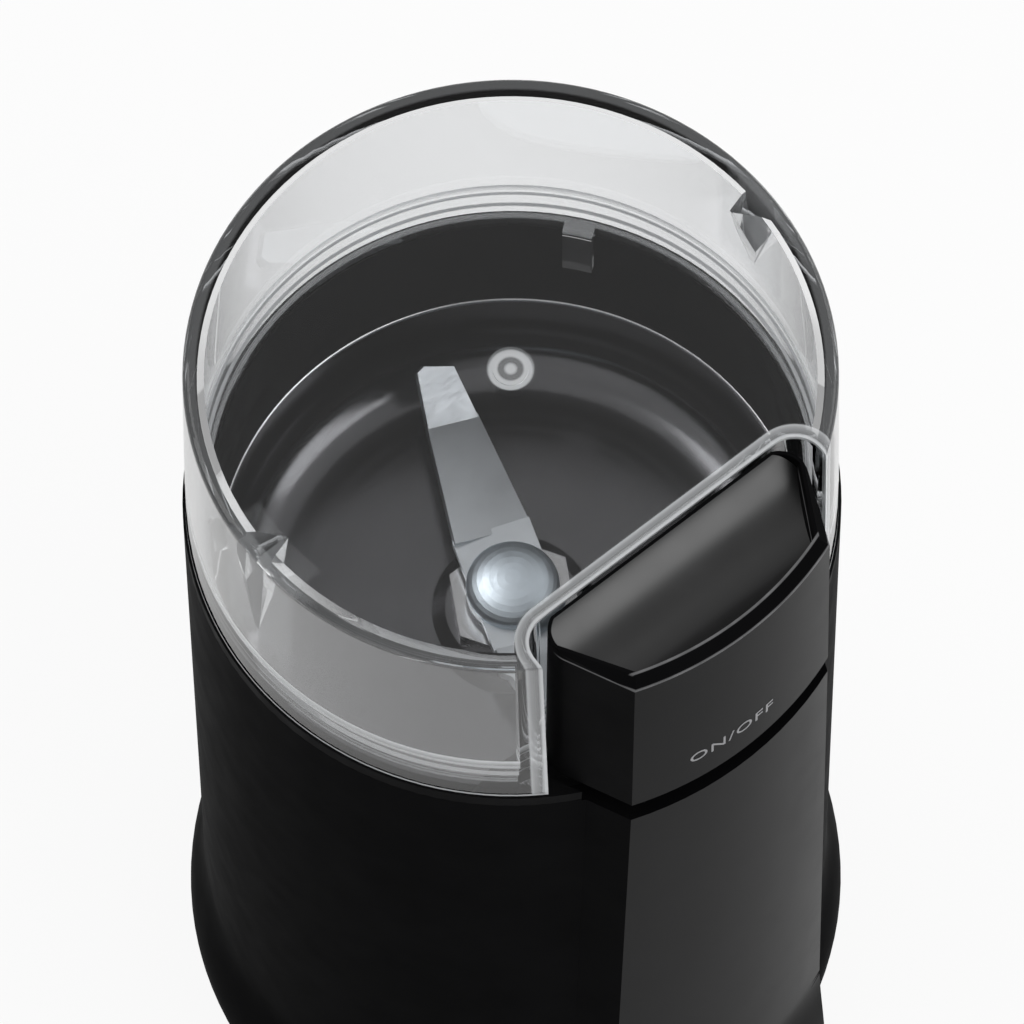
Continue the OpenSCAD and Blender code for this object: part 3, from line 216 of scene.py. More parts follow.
def showShader(tree, shader):
    tree.links.new(shader, tree.nodes["Material Output"].inputs["Surface"])


studio = {
    "world": 0.52,          # soft light from all round
    "worldSeen": 1.0,       # the same where it is looked at
    "worldMirrored": 0.36,  # and in reflections
    "lampAim": (0, 0, 0.12),
    "lamps": [              # place, size, power
        ((-0.5, 0.9, 1.5), 1.0, 6.0),
        ((1.3, -0.1, 0.9), 0.8, 3.0),
        ((0.44, -1.08, 0.94), 1.2, 8.0),
    ],
    "floorColour": (0.86, 0.86, 0.86, 1),
    "floorRough": 0.9,
    "floorRadius": 9.0,
    "floorSides": 96,
    "floorSeen": 0.9,       # share of plain white in what is seen of the floor
    "floorMirrored": 0.3,   # the same in reflections
}
white = (1, 1, 1, 1)


def lightRoom(s):
    world = bpy.data.worlds.new("softRoom")
    bpy.context.scene.world = world
    world.use_nodes = True
    tree = world.node_tree
    tree.nodes.clear()
    soft = tree.nodes.new("ShaderNodeBackground")
    soft.inputs["Color"].default_value = white
    strength = byRay(tree, s["worldSeen"], s["worldMirrored"], s["world"])
    tree.links.new(strength, soft.inputs["Strength"])
    out = tree.nodes.new("ShaderNodeOutputWorld")
    tree.links.new(soft.outputs[0], out.inputs[0])
    for i, (place, size, power) in enumerate(s["lamps"]):
        data = bpy.data.lights.new("lamp%d" % i, "AREA")
        data.shape, data.size, data.energy = "SQUARE", size, power
        lamp = newObject("lamp%d" % i, data)
        aim = Vector(s["lampAim"]) - Vector(place)
        turn = aim.to_track_quat("-Z", "Y").to_matrix().to_4x4()
        lamp.matrix_world = Matrix.Translation(place) @ turn
        lamp.visible_camera = False


def layFloor(s):
    bm = bmesh.new()
    bmesh.ops.create_circle(bm, cap_ends=True, segments=s["floorSides"], radius=s["floorRadius"])
    mesh = bpy.data.meshes.new("floor")
    bm.to_mesh(mesh)
    bm.free()
    floor = newObject("floor", mesh)
    mat, tree, shader = newFinish("paleFloor")
    shader.inputs["Base Color"].default_value = s["floorColour"]
    shader.inputs["Roughness"].default_value = s["floorRough"]
    shader.inputs["Specular IOR Level"].default_value = 0.0
    plain = tree.nodes.new("ShaderNodeEmission")
    plain.inputs["Color"].default_value = white
    share = byRay(tree, s["floorSeen"], s["floorMirrored"], 0.0)
    showShader(tree, mixed(tree, share, shader.outputs[0], plain.outputs[0]))
    mesh.materials.append(mat)


placeCamera(viewpoint)
lightRoom(studio)
layFloor(studio)
bpy.context.scene.view_settings.view_transform = "Standard"
print("camera and studio placed")

mouldedUsual = {
    "patch": 55, "vary": 0.12, "shine": 0.5,
    "grain": 2600, "grainDepth": 0.02 * mm, "grainStrength": 0.5,
}
metalUsual = {
    "patch": 90, "vary": 0.08,
    "brush": (1, 1, 1), "lines": 900, "depth": 0.01 * mm, "strength": 0.4,
}
ringUsual = {"patch": 60, "vary": 0.06, "lines": 2200, "depth": 0.008 * mm, "strength": 0.35}


def onPiece(tree):
    return tree.nodes.new("ShaderNodeTexCoord").outputs["Object"]


def patchy(tree, place, f):             # the colour, darker and lighter in patches
    ramp = tree.nodes.new("ShaderNodeValToRGB")
    shares = 1 - f["vary"], 1 + f["vary"]
    for stop, at, share in zip(ramp.color_ramp.elements, (0.35, 0.65), shares):
        stop.position = at
        stop.color = (*(min(1, x * share) for x in f["colour"]), 1)
    tree.links.new(noise(tree, place, f["patch"], 4), ramp.inputs["Fac"])
    return ramp.outputs["Color"]


def paintedHighlightLines(tree, place, colour, w):  # painted highlight lines along the button's band and round the front of its dish
    x, y, z = axes(tree, place)
    front = fall(tree, y, w["from"], w["to"])
    band = peak(tree, z, w["bandHeight"], w["bandHalf"])
    rim = times(tree, peak(tree, hypot(tree, x, y), w["rimRadius"], w["rimHalf"]),
                rise(tree, z, *(w["top"] - d for d in w["topFade"])))
    lineBreaks = spread(tree, noise(tree, place, w["rub"]), *w["breakShare"])
    mix = tree.nodes.new("ShaderNodeMix")
    mix.data_type = "RGBA"
    tree.links.new(times(tree, calc(tree, "MAXIMUM", band, rim), front, lineBreaks), mix.inputs["Factor"])
    tree.links.new(colour, mix.inputs["A"])
    mix.inputs["B"].default_value = (*w["colour"], 1)
    return mix.outputs["Result"]


def mouldedFinish(name, f):             # plastics and rubbers
    f = {**mouldedUsual, **f}
    mat, tree, shader = newFinish(name)
    place = onPiece(tree)
    colour = patchy(tree, place, f)
    # painted highlight lines, where a finish has them
    if "worn" in f:
        colour = paintedHighlightLines(tree, place, colour, f["worn"])
    tree.links.new(colour, shader.inputs["Base Color"])
    smears = noise(tree, place, f["patch"] * 3)
    tree.links.new(spread(tree, smears, *f["rough"]), shader.inputs["Roughness"])
    grain = noise(tree, place, f["grain"], 2)
    tree.links.new(bumpFrom(tree, grain, f["grainDepth"], f["grainStrength"]), shader.inputs["Normal"])
    shader.inputs["Specular IOR Level"].default_value = f["shine"]
    return mat


def dressMetal(tree, shader, place, lines, f):
    tree.links.new(patchy(tree, place, f), shader.inputs["Base Color"])
    tree.links.new(spread(tree, lines, *f["rough"]), shader.inputs["Roughness"])
    tree.links.new(bumpFrom(tree, lines, f["depth"], f["strength"]), shader.inputs["Normal"])
    shader.inputs["Metallic"].default_value = 1.0


def metalFinish(name, f):               # brushed, drawn or plated metals
    f = {**metalUsual, **f}
    mat, tree, shader = newFinish(name)
    place = onPiece(tree)
    pulled = tree.nodes.new("ShaderNodeMapping")
    pulled.inputs["Scale"].default_value = f["brush"]
    tree.links.new(place, pulled.inputs["Vector"])
    dressMetal(tree, shader, place, noise(tree, pulled.outputs[0], f["lines"]), f)
    return mat


def ringFinish(name, f):                # spun or turned metal: fine lines round the axis
    f = {**ringUsual, **f}
    mat, tree, shader = newFinish(name)
    place = onPiece(tree)
    x, y, z = axes(tree, place)
    at = tree.nodes.new("ShaderNodeCombineXYZ")
    tree.links.new(hypot(tree, x, y), at.inputs["X"])
    tree.links.new(z, at.inputs["Z"])
    dressMetal(tree, shader, place, noise(tree, at.outputs[0], f["lines"]), f)
    return mat


def stepShades(h):                      # painted highlight lines at the steps, then a band of painted highlight that brightens up to where it ends
    near, far = h["stepHalf"]
    dim, light = h["between"], h["steps"]
    lines = [stop for k in h["stepRows"] for stop in (
        (k - far, dim), (k - near, light), (k + near, light), (k + far, dim))]
    return [(0.0, 0.0)] + lines + [(1.0, 1.0), (1.0, 0.0)]


def edgeHighlightShare(tree, place, h):           # share of whitish diffuse along the lid's edges, steps and marks: painted highlights, and on the gate mark partly a frosted mark
    x, y, z = axes(tree, place)
    r = hypot(tree, x, y)
    top, low, wall = h["top"], h["low"], h["wallOut"]
    atTop = rise(tree, z, *(top - d for d in h["topFade"]))

    aside = calc(tree, "SUBTRACT", calc(tree, "ABSOLUTE", x), h["cutHalf"] - h["cutCorner"])
    inward = calc(tree, "ADD", y, h["cutFront"] + h["cutCorner"])
    corner = hypot(tree, calc(tree, "MAXIMUM", aside, 0.0), calc(tree, "MAXIMUM", inward, 0.0))
    fromCut = calc(tree, "DIVIDE", calc(tree, "SUBTRACT", corner, h["cutCorner"]), h["cutReach"])
    onEdge = calc(tree, "MAXIMUM", atTop, rise(tree, r, wall - h["wallFade"], wall))
    total = times(tree, shades(tree, fromCut, h["cutEdge"]), onEdge)

    upWall = calc(tree, "DIVIDE", calc(tree, "SUBTRACT", z, low), h["stepReach"])
    steps = times(tree, shades(tree, upWall, stepShades(h)), fall(tree, r, wall, wall + h["wallFade"]))
    rim = times(tree, rise(tree, r, *(wall - d for d in h["rimIn"])),
                rise(tree, z, *(top - d for d in h["rimDeep"])), h["rim"])
    foot = times(tree, fall(tree, z, *(low + d for d in h["footHigh"])),
                 rise(tree, r, *(wall + d for d in h["footOut"])), h["foot"])
    gusset = times(tree, fall(tree, calc(tree, "ABSOLUTE", y), *h["gussetHalf"]),
                   rise(tree, r, *(wall - d for d in h["gussetIn"])),
                   fall(tree, z, *(top - d for d in h["gussetTop"])),
                   rise(tree, z, *(top - d for d in h["gussetLow"])), h["gusset"])
    ring = peak(tree, r, h["gateRadius"] - h["gateRing"], h["gateRing"] * 1.2)
    dot = spread(tree, r, 1, h["gateDim"], *h["gateDot"])
    gate = times(tree, calc(tree, "MAXIMUM", ring, dot), atTop,
                 fall(tree, r, h["gateRadius"], h["gateRadius"] + h["gateFade"]), h["gate"])
    for part in (rim, foot, steps, gusset, gate):
        total = calc(tree, "MAXIMUM", total, part)
    return calc(tree, "MINIMUM", total, 1.0)


def clearFinish(name, f):               # clear plastic with painted highlights of whitish diffuse along its edges, which lets the lamps through
    mat, tree, shader = newFinish(name)
    place = onPiece(tree)
    shader.inputs["Base Color"].default_value = (*f["colour"], 1)
    shader.inputs["Transmission Weight"].default_value = 1.0
    shader.inputs["IOR"].default_value = f["ior"]
    smears = noise(tree, place, f["patch"], 4)
    tree.links.new(spread(tree, smears, *f["rough"]), shader.inputs["Roughness"])
    ripple = noise(tree, place, f["ripple"], 2)
    waves = bumpFrom(tree, ripple, f["rippleDepth"], f["rippleStrength"])
    tree.links.new(waves, shader.inputs["Normal"])
    # whitish diffuse mixed into the clear plastic as painted highlights
    highlightWhite = tree.nodes.new("ShaderNodeBsdfDiffuse")
    highlightWhite.inputs["Color"].default_value = (*f["haze"]["colour"], 1)
    highlighted = mixed(tree, edgeHighlightShare(tree, place, f["haze"]), shader.outputs[0], highlightWhite.outputs[0])
    through = tree.nodes.new("ShaderNodeBsdfTransparent")
    through.inputs["Color"].default_value = (*f["shadow"], 1)
    path = tree.nodes.new("ShaderNodeLightPath")
    showShader(tree, mixed(tree, path.outputs["Is Shadow Ray"], highlighted, through.outputs[0]))
    return mat


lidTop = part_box("lid")[1][2]
# whitish diffuse laid along the lid's edges, steps, gusset and gate mark as painted highlights
lidPaintedHighlights = {
    "colour": (0.86, 0.88, 0.9),
    "top": lidTop, "topFade": (0.9 * mm, 0.4 * mm), "low": lidTop - 42 * mm,
    "wallOut": 46.0 * mm, "wallFade": 0.3 * mm,
    # plan of the cut-out for the button, and the share of painted highlight across its edge
    "cutHalf": 25.6 * mm, "cutFront": 32.3 * mm, "cutCorner": 4.5 * mm, "cutReach": 2.4 * mm,
    "cutEdge": [(0.0, 0.62), (0.13, 0.62), (0.24, 0.22), (0.6, 0.34), (0.76, 0.5), (0.86, 0.0)],
    "rim": 0.1, "rimIn": (2.1 * mm, 1.7 * mm), "rimDeep": (1.6 * mm, 0.8 * mm),
    "foot": 0.7, "footHigh": (0.35 * mm, 0.6 * mm), "footOut": (0.5 * mm, 0.8 * mm),
    # rows and widths of the steps are parts of their reach above the foot
    "steps": 0.34, "between": 0.02, "stepReach": 10 * mm, "stepRows": [0.22, 0.5, 0.76],
    "stepHalf": (0.012, 0.03),
    "gusset": 0.08, "gussetHalf": (6.6 * mm, 7.2 * mm), "gussetIn": (6 * mm, 5.6 * mm),
    "gussetTop": (2.3 * mm, 2.1 * mm), "gussetLow": (30 * mm, 24 * mm),
    "gate": 0.55, "gateRadius": 3.3 * mm, "gateRing": 0.8 * mm, "gateFade": 0.2 * mm,
    "gateDot": (0.6 * mm, 1.1 * mm), "gateDim": 0.25,
}
top = cadBox[1][2]
# lighter lines along the band and round the dish's front: painted highlights, broken into patches
buttonHighlightLines = {
    "colour": (0.17, 0.17, 0.174), "rub": 320, "breakShare": (0.6, 1.0),
    "from": -38 * mm, "to": -36.5 * mm,         # fades out towards the back
    "bandHeight": top - 1.9 * mm, "bandHalf": 0.26 * mm,
    "rimRadius": 49.8 * mm, "rimHalf": 0.26 * mm, "top": top, "topFade": (0.3 * mm, 0.1 * mm),
}
finishTable = [             # slot, kind, colour, roughness from and to, what is unlike the kind's usual
    ("clear_lid", clearFinish, (0.975, 0.98, 0.985), (0.0, 0.03), {
        "patch": 140, "ior": 1.47, "ripple": 45, "rippleDepth": 0.01 * mm, "rippleStrength": 0.3,
        "shadow": (0.9, 0.9, 0.9), "haze": lidPaintedHighlights}),
    ("button_black", mouldedFinish, (0.004, 0.004, 0.0043), (0.38, 0.44), {
        "shine": 0.004, "grainDepth": 0.004 * mm, "worn": buttonHighlightLines}),
    ("housing_black", mouldedFinish, (0.0036, 0.0036, 0.0039), (0.4, 0.46), {
        "shine": 0.002, "grainDepth": 0.004 * mm}),
    ("collar_black", mouldedFinish, (0.0055, 0.0055, 0.0058), (0.35, 0.5), {"shine": 0.006}),
    ("base_black", mouldedFinish, (0.010, 0.010, 0.011), (0.45, 0.6), {"shine": 0.4}),
    # the bowl's steel is far darker than steel's own tone: painted shade of the bowl's hollow
    ("bowl_steel", ringFinish, (0.16, 0.16, 0.167), (0.14, 0.24), {"lines": 600, "depth": 0.0006 * mm}),
    ("blade_steel", metalFinish, (0.66, 0.69, 0.72), (0.36, 0.5), {
        "brush": (1, 9, 1), "lines": 500, "depth": 0.002 * mm}),
    ("blade_nut_metal", metalFinish, (0.78, 0.86, 0.93), (0.4, 0.52), {"depth": 0.002 * mm}),
    ("bright_steel", ringFinish, (0.68, 0.68, 0.69), (0.16, 0.3), {}),
    ("spring_steel", metalFinish, (0.5, 0.5, 0.52), (0.28, 0.4), {}),
    ("zinc_screw", metalFinish, (0.6, 0.61, 0.62), (0.3, 0.45), {"patch": 500}),
    ("seal_rubber", mouldedFinish, (0.02, 0.02, 0.021), (0.6, 0.75), {"grain": 1600}),
    ("foot_rubber", mouldedFinish, (0.022, 0.022, 0.023), (0.65, 0.8), {"grain": 1600}),
    ("switch_case", mouldedFinish, (0.025, 0.025, 0.028), (0.4, 0.5), {}),
    ("plunger_red", mouldedFinish, (0.42, 0.03, 0.02), (0.3, 0.4), {}),
    ("slider_white", mouldedFinish, (0.72, 0.71, 0.68), (0.35, 0.45), {}),
    ("lamination", metalFinish, (0.3, 0.3, 0.32), (0.35, 0.55), {
        "brush": (0.05, 0.05, 1), "lines": 1600, "depth": 0.08 * mm, "strength": 0.8}),
    ("winding", metalFinish, (0.62, 0.22, 0.07), (0.25, 0.4), {
        "brush": (1, 1, 0.15), "lines": 1500, "depth": 0.1 * mm, "strength": 0.8}),
    ("commutator_copper", metalFinish, (0.68, 0.32, 0.16), (0.22, 0.4), {}),
    ("fan_white", mouldedFinish, (0.66, 0.66, 0.62), (0.4, 0.5), {}),
    ("bracket_metal", metalFinish, (0.5, 0.5, 0.5), (0.42, 0.6), {"patch": 300}),
    ("bronze", metalFinish, (0.5, 0.3, 0.12), (0.35, 0.5), {"patch": 900}),
    ("brush_board", mouldedFinish, (0.12, 0.05, 0.02), (0.45, 0.6), {"vary": 0.25}),
    ("holder_brass", metalFinish, (0.68, 0.48, 0.18), (0.25, 0.4), {}),
    ("carbon", mouldedFinish, (0.015, 0.015, 0.016), (0.5, 0.7), {"grain": 4000}),
    ("cutout_white", mouldedFinish, (0.75, 0.75, 0.72), (0.4, 0.5), {}),
    ("capacitor_yellow", mouldedFinish, (0.62, 0.38, 0.03), (0.3, 0.4), {}),
    ("terminal_white", mouldedFinish, (0.68, 0.66, 0.58), (0.4, 0.5), {}),
    ("lead_brown", mouldedFinish, (0.10, 0.035, 0.012), (0.35, 0.45), {}),
    ("lead_blue", mouldedFinish, (0.02, 0.06, 0.3), (0.35, 0.45), {}),
    ("lead_red", mouldedFinish, (0.4, 0.02, 0.015), (0.35, 0.45), {}),
]


def camelName(slot):
    first, *others = slot.split("_")
    return first + "".join(word.capitalize() for word in others)


finishes = {slot: make(camelName(slot), {"colour": colour, "rough": rough, **unlike})
            for slot, make, colour, rough, unlike in finishTable}
print("finishes made:", len(finishes))

softened = {
    "button_cap": {"edge": 0.2 * mm, "steps": 3},
    "housing": {"edge": 0.15 * mm, "steps": 2},
}
shellCare = {"weld": 0.002 * mm, "flat": 0.05, "sharp": 30, "evenness": 80}     # angles in degrees


def softEdged(node, f, care):           # a merged copy of a shell with rounded edges and even shading
    mesh = nodes[node].data.copy()
    mesh.name = node + "_form"
    bm = bmesh.new()
    bm.from_mesh(mesh)
    bmesh.ops.remove_doubles(bm, verts=bm.verts, dist=care["weld"])
    bmesh.ops.dissolve_limit(bm, angle_limit=math.radians(care["flat"]), verts=bm.verts, edges=bm.edges)
    for face in bm.faces:
        face.smooth = True
    bm.to_mesh(mesh)
    bm.free()
    mesh.materials.clear()
    mesh.materials.append(finishes[slotOfNode[node]])
    piece = newObject(node + "_form", mesh)
    rounding = piece.modifiers.new("edge", "BEVEL")
    rounding.width, rounding.segments = f["edge"], f["steps"]
    rounding.limit_method, rounding.angle_limit = "ANGLE", math.radians(care["sharp"])
    rounding.use_clamp_overlap, rounding.miter_outer = True, "MITER_ARC"
    even = piece.modifiers.new("even", "WEIGHTED_NORMAL")
    even.mode, even.weight, even.keep_sharp = "FACE_AREA", care["evenness"], False
    done = plainMesh(piece)
    piece.modifiers.clear()
    piece.data = done
    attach(piece, bodyOfNode[node])
    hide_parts(node)
    print("softened", node, len(done.polygons))
    return piece


def addFinish(piece, finish, chosen):   # a second finish on the faces that chosen(centre, normal) picks
    piece.data.materials.append(finish)
    picked = [p for p in piece.data.polygons if chosen(p.center, p.normal)]
    for p in picked:
        p.material_index = len(piece.data.materials) - 1
    print("  %s: %d faces of %s" % (finish.name, len(picked), piece.name))


second = {                              # where the button and the panel below it take a second finish
    "dishLow": top - 4.5 * mm, "dishHigh": top - 0.05 * mm, "dishRadius": 50.2 * mm,
    "upward": 0.3, "sideways": 0.5,     # leave out the walls and the sloping band at the side
    "forward": -0.8, "frontAt": -44 * mm, "bandLow": top - 1.8 * mm,
    "panelHalf": 19.7 * mm, "panelLow": 12 * mm,
}


def inDish(c, n):
    level = n.z > second["upward"] and abs(n.x) < second["sideways"]
    inside = math.hypot(c.x, c.y) < second["dishRadius"]
    return level and inside and second["dishLow"] < c.z < second["dishHigh"]


def onFront(c, n):
    return n.y < second["forward"] and c.y < second["frontAt"]


def onButtonFront(c, n):
    return onFront(c, n) and c.z < second["bandLow"]


def onPanel(c, n):
    return onFront(c, n) and abs(c.x) < second["panelHalf"] and c.z > second["panelLow"]


dishPolish = mouldedFinish("dishPolish", {
    "colour": (0.006, 0.006, 0.0063), "rough": (0.3, 0.36), "shine": 1.0, "grainDepth": 0.003 * mm})
panelSatin = mouldedFinish("panelSatin", {
    "colour": (0.005, 0.005, 0.0053), "rough": (0.17, 0.22), "shine": 0.022, "grainDepth": 0.003 * mm,
    "worn": buttonHighlightLines})
pieces = {name: softEdged(name, f, shellCare) for name, f in softened.items()}
addFinish(pieces["button_cap"], dishPolish, inDish)
addFinish(pieces["button_cap"], panelSatin, onButtonFront)
addFinish(pieces["housing"], panelSatin, onPanel)


def startTree(name, taken, rows, made):  # a Geometry Nodes tree with named inputs, and their identifiers
    tree = bpy.data.node_groups.new(name, "GeometryNodeTree")
    face = tree.interface
    ids = {}
    face.new_socket(taken, in_out="INPUT", socket_type="NodeSocketGeometry")
    for label, kind in rows:
        ids[label] = face.new_socket(label, in_out="INPUT", socket_type="NodeSocket" + kind).identifier
    face.new_socket(made, in_out="OUTPUT", socket_type="NodeSocketGeometry")
    return tree, ids


def useTree(piece, tree, ids, values):
    m = piece.modifiers.new(tree.name, "NODES")
    m.node_group = tree
    for label, value in values.items():
        if isinstance(value, tuple):
            for i, part in enumerate(value):
                m[ids[label]][i] = part
        else:
            m[ids[label]] = value


def dressed(tree, geometry, finish):    # realized, then given its finish
    real = tree.nodes.new("GeometryNodeRealizeInstances")
    tree.links.new(geometry, real.inputs[0])
    dress = tree.nodes.new("GeometryNodeSetMaterial")
    tree.links.new(real.outputs[0], dress.inputs["Geometry"])
    tree.links.new(finish, dress.inputs["Material"])
    return dress.outputs[0]


def madeMesh(piece):                    # the tree's result, with outward faces and no empty slots
    mesh = plainMesh(piece)
    piece.modifiers.clear()
    given = list(mesh.materials)
    kept = [m for m in given if m]
    places = [kept.index(given[p.material_index]) for p in mesh.polygons]
    mesh.materials.clear()
    for m in kept:
        mesh.materials.append(m)
    mesh.polygons.foreach_set("material_index", places)
    bm = bmesh.new()
    bm.from_mesh(mesh)
    bmesh.ops.recalc_face_normals(bm, faces=bm.faces)
    for face in bm.faces:
        face.smooth = len(face.verts) == 4
    bm.to_mesh(mesh)
    bm.free()
    return mesh


rimPolish = ringFinish("rimPolish", {
    "colour": (0.8, 0.8, 0.81), "rough": (0.2, 0.3), "lines": 800, "depth": 0.001 * mm})
bowl = {
    "segments": 192, "rim": 42.9 * mm, "flange": 44.9 * mm, "rimHeight": 132 * mm, "deep": 16 * mm,
    "corner": 8 * mm, "lip": 0.5 * mm, "wall": 0.6 * mm, "hole": 6.2 * mm,
    "seat": (12 * mm, 10 * mm), "seatRise": 1.2 * mm,       # raised middle: radii of its slope, height
    "weld": 0.002 * mm, "sharp": 28,
}


def bowlProfile(b):                     # closed outline of the sheet, radius and height
    rim, high, lip, t = b["rim"], b["rimHeight"], b["lip"], b["wall"]
    low = high - b["deep"]
    raised = low + b["seatRise"]
    foot, crown = b["seat"]
    x, z = rim - b["corner"], low + b["corner"]

    def bend(r, order):
        return [(x + r * math.cos(math.radians(a)), z - r * math.sin(math.radians(a))) for a in order]

    rolled = [(rim + lip * (1 - math.sin(math.radians(a))), high - lip * (1 - math.cos(math.radians(a))))
              for a in range(0, 91, 15)]
    inside = [(b["flange"], high)] + rolled + bend(b["corner"], range(0, 91, 5)) + [
        (foot, low), (crown, raised), (b["hole"], raised)]
    outside = [(b["hole"], raised - t), (crown - t / 2, raised - t), (foot - t / 2, low - t)] + bend(
        b["corner"] + t, range(90, -1, -5)) + [(rim + t, high - t), (b["flange"], high - t)]
    return inside + outside


def spinTree(weldDistance):             # turns a profile in the XZ plane into a closed spun shell
    tree, ids = startTree("spinProfile", "Profile", [
        ("Segments", "Int"), ("Rim Height", "Float"), ("Rim Radius", "Float"),
        ("Finish", "Material"), ("Rim Finish", "Material")], "Shell")
    new, link = tree.nodes.new, tree.links.new
    start, end = new("NodeGroupInput"), new("NodeGroupOutput")
    profile = start.outputs["Profile"]
    size = new("GeometryNodeAttributeDomainSize")
    link(profile, size.inputs[0])
    points = size.outputs["Point Count"]
    grid = new("GeometryNodeMeshGrid")  # a row for each point of the profile, a column for each turn
    grid.inputs["Size X"].default_value = 1
    grid.inputs["Size Y"].default_value = 1
    link(calc(tree, "ADD", start.outputs["Segments"], 1), grid.inputs["Vertices X"])
    link(points, grid.inputs["Vertices Y"])
    here = new("GeometryNodeInputPosition").outputs[0]
    column, row = (calc(tree, "ADD", k, 0.5) for k in axes(tree, here)[:2])
    turn = times(tree, column, math.tau)
    pick = new("GeometryNodeSampleIndex")
    pick.data_type, pick.domain = "FLOAT_VECTOR", "POINT"
    link(profile, pick.inputs["Geometry"])
    link(here, pick.inputs["Value"])
    link(calc(tree, "ROUND", times(tree, row, calc(tree, "SUBTRACT", points, 1))), pick.inputs["Index"])
    radius, _, height = axes(tree, pick.outputs[0])
    spun = new("ShaderNodeCombineXYZ")
    link(times(tree, radius, calc(tree, "COSINE", turn)), spun.inputs["X"])
    link(times(tree, radius, calc(tree, "SINE", turn)), spun.inputs["Y"])
    link(height, spun.inputs["Z"])
    place = new("GeometryNodeSetPosition")
    link(grid.outputs["Mesh"], place.inputs["Geometry"])
    link(spun.outputs[0], place.inputs["Position"])
    weld = new("GeometryNodeMergeByDistance")
    weld.inputs["Distance"].default_value = weldDistance
    link(place.outputs[0], weld.inputs["Geometry"])
    shell = dressed(tree, weld.outputs[0], start.outputs["Finish"])
    x, y, z = axes(tree, new("GeometryNodeInputPosition").outputs[0])
    atRim = times(tree, calc(tree, "GREATER_THAN", z, start.outputs["Rim Height"]),
                  calc(tree, "LESS_THAN", hypot(tree, x, y), start.outputs["Rim Radius"]))
    rim = new("GeometryNodeSetMaterial")
    link(shell, rim.inputs["Geometry"])
    link(atRim, rim.inputs["Selection"])
    link(start.outputs["Rim Finish"], rim.inputs["Material"])
    link(rim.outputs[0], end.inputs[0])
    return tree, ids


def spinBowl(b):
    outline = bowlProfile(b)
    mesh = bpy.data.meshes.new("bowlProfile")
    mesh.from_pydata([(r, 0, z) for r, z in outline + outline[:1]],
                     [(i, i + 1) for i in range(len(outline))], [])
    piece = newObject("grinding_bowl_form", mesh)
    useTree(piece, *spinTree(b["weld"]), {
        "Segments": b["segments"],
        "Rim Height": b["rimHeight"] - b["lip"], "Rim Radius": b["rim"] + b["lip"],
        "Finish": finishes["bowl_steel"], "Rim Finish": rimPolish})
    done = madeMesh(piece)
    done.set_sharp_from_angle(angle=math.radians(b["sharp"]))
    piece.data = done
    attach(piece, bodyOfNode["grinding_bowl"])
    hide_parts("grinding_bowl")
    print("bowl spun:", len(done.polygons), "faces,", len(done.materials), "finishes")


spinBowl(bowl)

spring = {                              # the button's return springs
    "radius": 3.4 * mm, "wire": 0.4 * mm, "height": 10 * mm, "turns": 5.0, "travel": 4 * mm,
    "slack": 0.03 * mm, "roundTurn": 24, "roundWire": 10,
    "places": {"button_spring_left": (-11.5 * mm, -40.6 * mm, 153 * mm),
               "button_spring_right": (11.5 * mm, -40.6 * mm, 153 * mm)},
}


def coilTree(roundTurn, roundWire):     # wire wound on a helix
    tree, ids = startTree("coilSpring", "Geometry", [
        ("Radius", "Float"), ("Wire", "Float"), ("Rise", "Float"), ("Turns", "Float"),
        ("Place", "Vector"), ("Finish", "Material")], "Spring")
    new, link = tree.nodes.new, tree.links.new
    start, end = new("NodeGroupInput"), new("NodeGroupOutput")
    helix = new("GeometryNodeCurveSpiral")
    helix.inputs["Resolution"].default_value = roundTurn
    for given, taken in (("Turns", "Rotations"), ("Radius", "Start Radius"),
                         ("Radius", "End Radius"), ("Rise", "Height")):
        link(start.outputs[given], helix.inputs[taken])
    wire = new("GeometryNodeCurvePrimitiveCircle")
    wire.inputs["Resolution"].default_value = roundWire
    link(start.outputs["Wire"], wire.inputs["Radius"])
    tube = new("GeometryNodeCurveToMesh")
    tube.inputs["Fill Caps"].default_value = True
    link(helix.outputs[0], tube.inputs["Curve"])
    link(wire.outputs[0], tube.inputs["Profile Curve"])
    move = new("GeometryNodeTransform")
    link(tube.outputs[0], move.inputs["Geometry"])
    link(start.outputs["Place"], move.inputs["Translation"])
    link(dressed(tree, move.outputs[0], start.outputs["Finish"]), end.inputs[0])
    return tree, ids


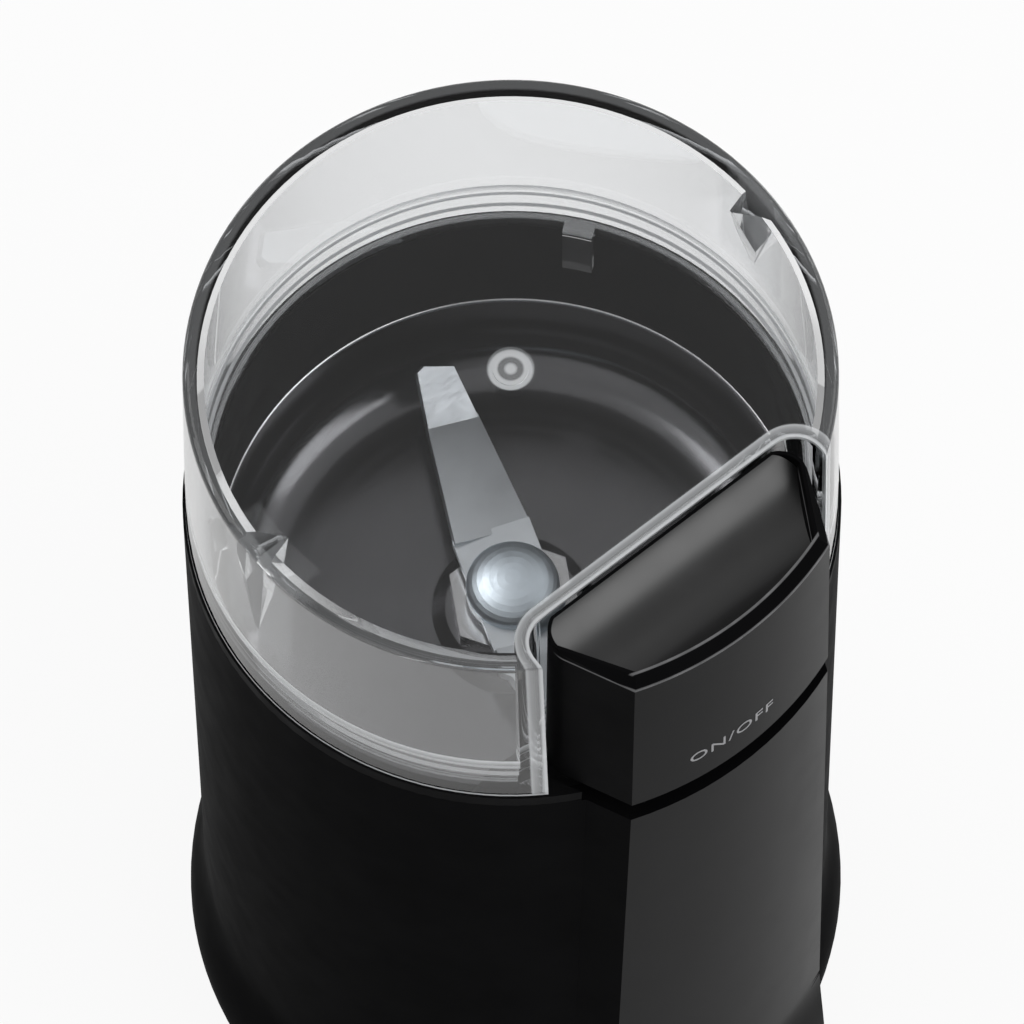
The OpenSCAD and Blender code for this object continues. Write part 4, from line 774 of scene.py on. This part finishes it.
def windSprings(s):                     # each wound above its seat
    tree, ids = coilTree(s["roundTurn"], s["roundWire"])
    clear = s["wire"] + s["slack"]      # from the seat to the middle of the wire
    for name, seat in s["places"].items():
        piece = newObject(name + "_form", bpy.data.meshes.new(name + "_form"))
        useTree(piece, tree, ids, {
            "Radius": s["radius"], "Wire": s["wire"], "Turns": s["turns"],
            "Rise": s["height"] - 2 * clear, "Place": (seat[0], seat[1], seat[2] + clear),
            "Finish": finishes[slotOfNode[name]]})
        done = madeMesh(piece)
        piece.data = done
        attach(piece, bodyOfNode[name])
        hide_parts(name)
        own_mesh(piece)
        print("spring wound:", name, len(done.polygons))


windSprings(spring)

printWhite = mouldedFinish("printWhite", {
    "colour": (0.32, 0.32, 0.33), "rough": (0.5, 0.6), "shine": 0.2})
lettering = {
    "words": "ON/OFF", "spacing": 1.12, "thick": 0.02, "roundness": 6, "weld": 0.0001 * mm,
    "turn": -2.3, "low": 164.3 * mm, "high": 2.55 * mm, "wide": 14.7 * mm, "proud": 0.05 * mm,
    # the button's front leans in by the draft above the height where it has this radius
    "wallRadius": 52.2 * mm, "wallAt": 158 * mm, "draft": 0.6 / 40,
}


def letterButton(f):
    data = bpy.data.curves.new("lettering", "FONT")
    data.body, data.space_character = f["words"], f["spacing"]
    data.extrude, data.resolution_u = f["thick"], f["roundness"]
    holder = newObject("letteringCurve", data)
    mesh = plainMesh(holder)
    bpy.data.objects.remove(holder)
    columns = [[v.co[i] for v in mesh.vertices] for i in range(3)]
    spans = [(min(k), max(k)) for k in columns]
    for v in mesh.vertices:             # each point by its share of the words' width, height and depth
        along, up, out = ((c - low) / (high - low) for c, (low, high) in zip(v.co, spans))
        z = f["low"] + up * f["high"]
        r = f["wallRadius"] - f["draft"] * (z - f["wallAt"]) + (out * 2 - 1) * f["proud"]
        turn = math.radians(f["turn"]) + (along - 0.5) * f["wide"] / r
        v.co = (r * math.sin(turn), -r * math.cos(turn), z)
    bm = bmesh.new()
    bm.from_mesh(mesh)
    bmesh.ops.remove_doubles(bm, verts=bm.verts, dist=f["weld"])
    bmesh.ops.recalc_face_normals(bm, faces=bm.faces)
    bm.to_mesh(mesh)
    bm.free()
    mesh.materials.clear()
    mesh.materials.append(printWhite)
    piece = newObject("button_lettering", mesh)
    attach(piece, bodyOfNode["button_cap"])


letterButton(lettering)
for name, obj in nodes.items():
    obj.data.materials.clear()
    obj.data.materials.append(finishes[slotOfNode[name]])
print("pieces dressed")
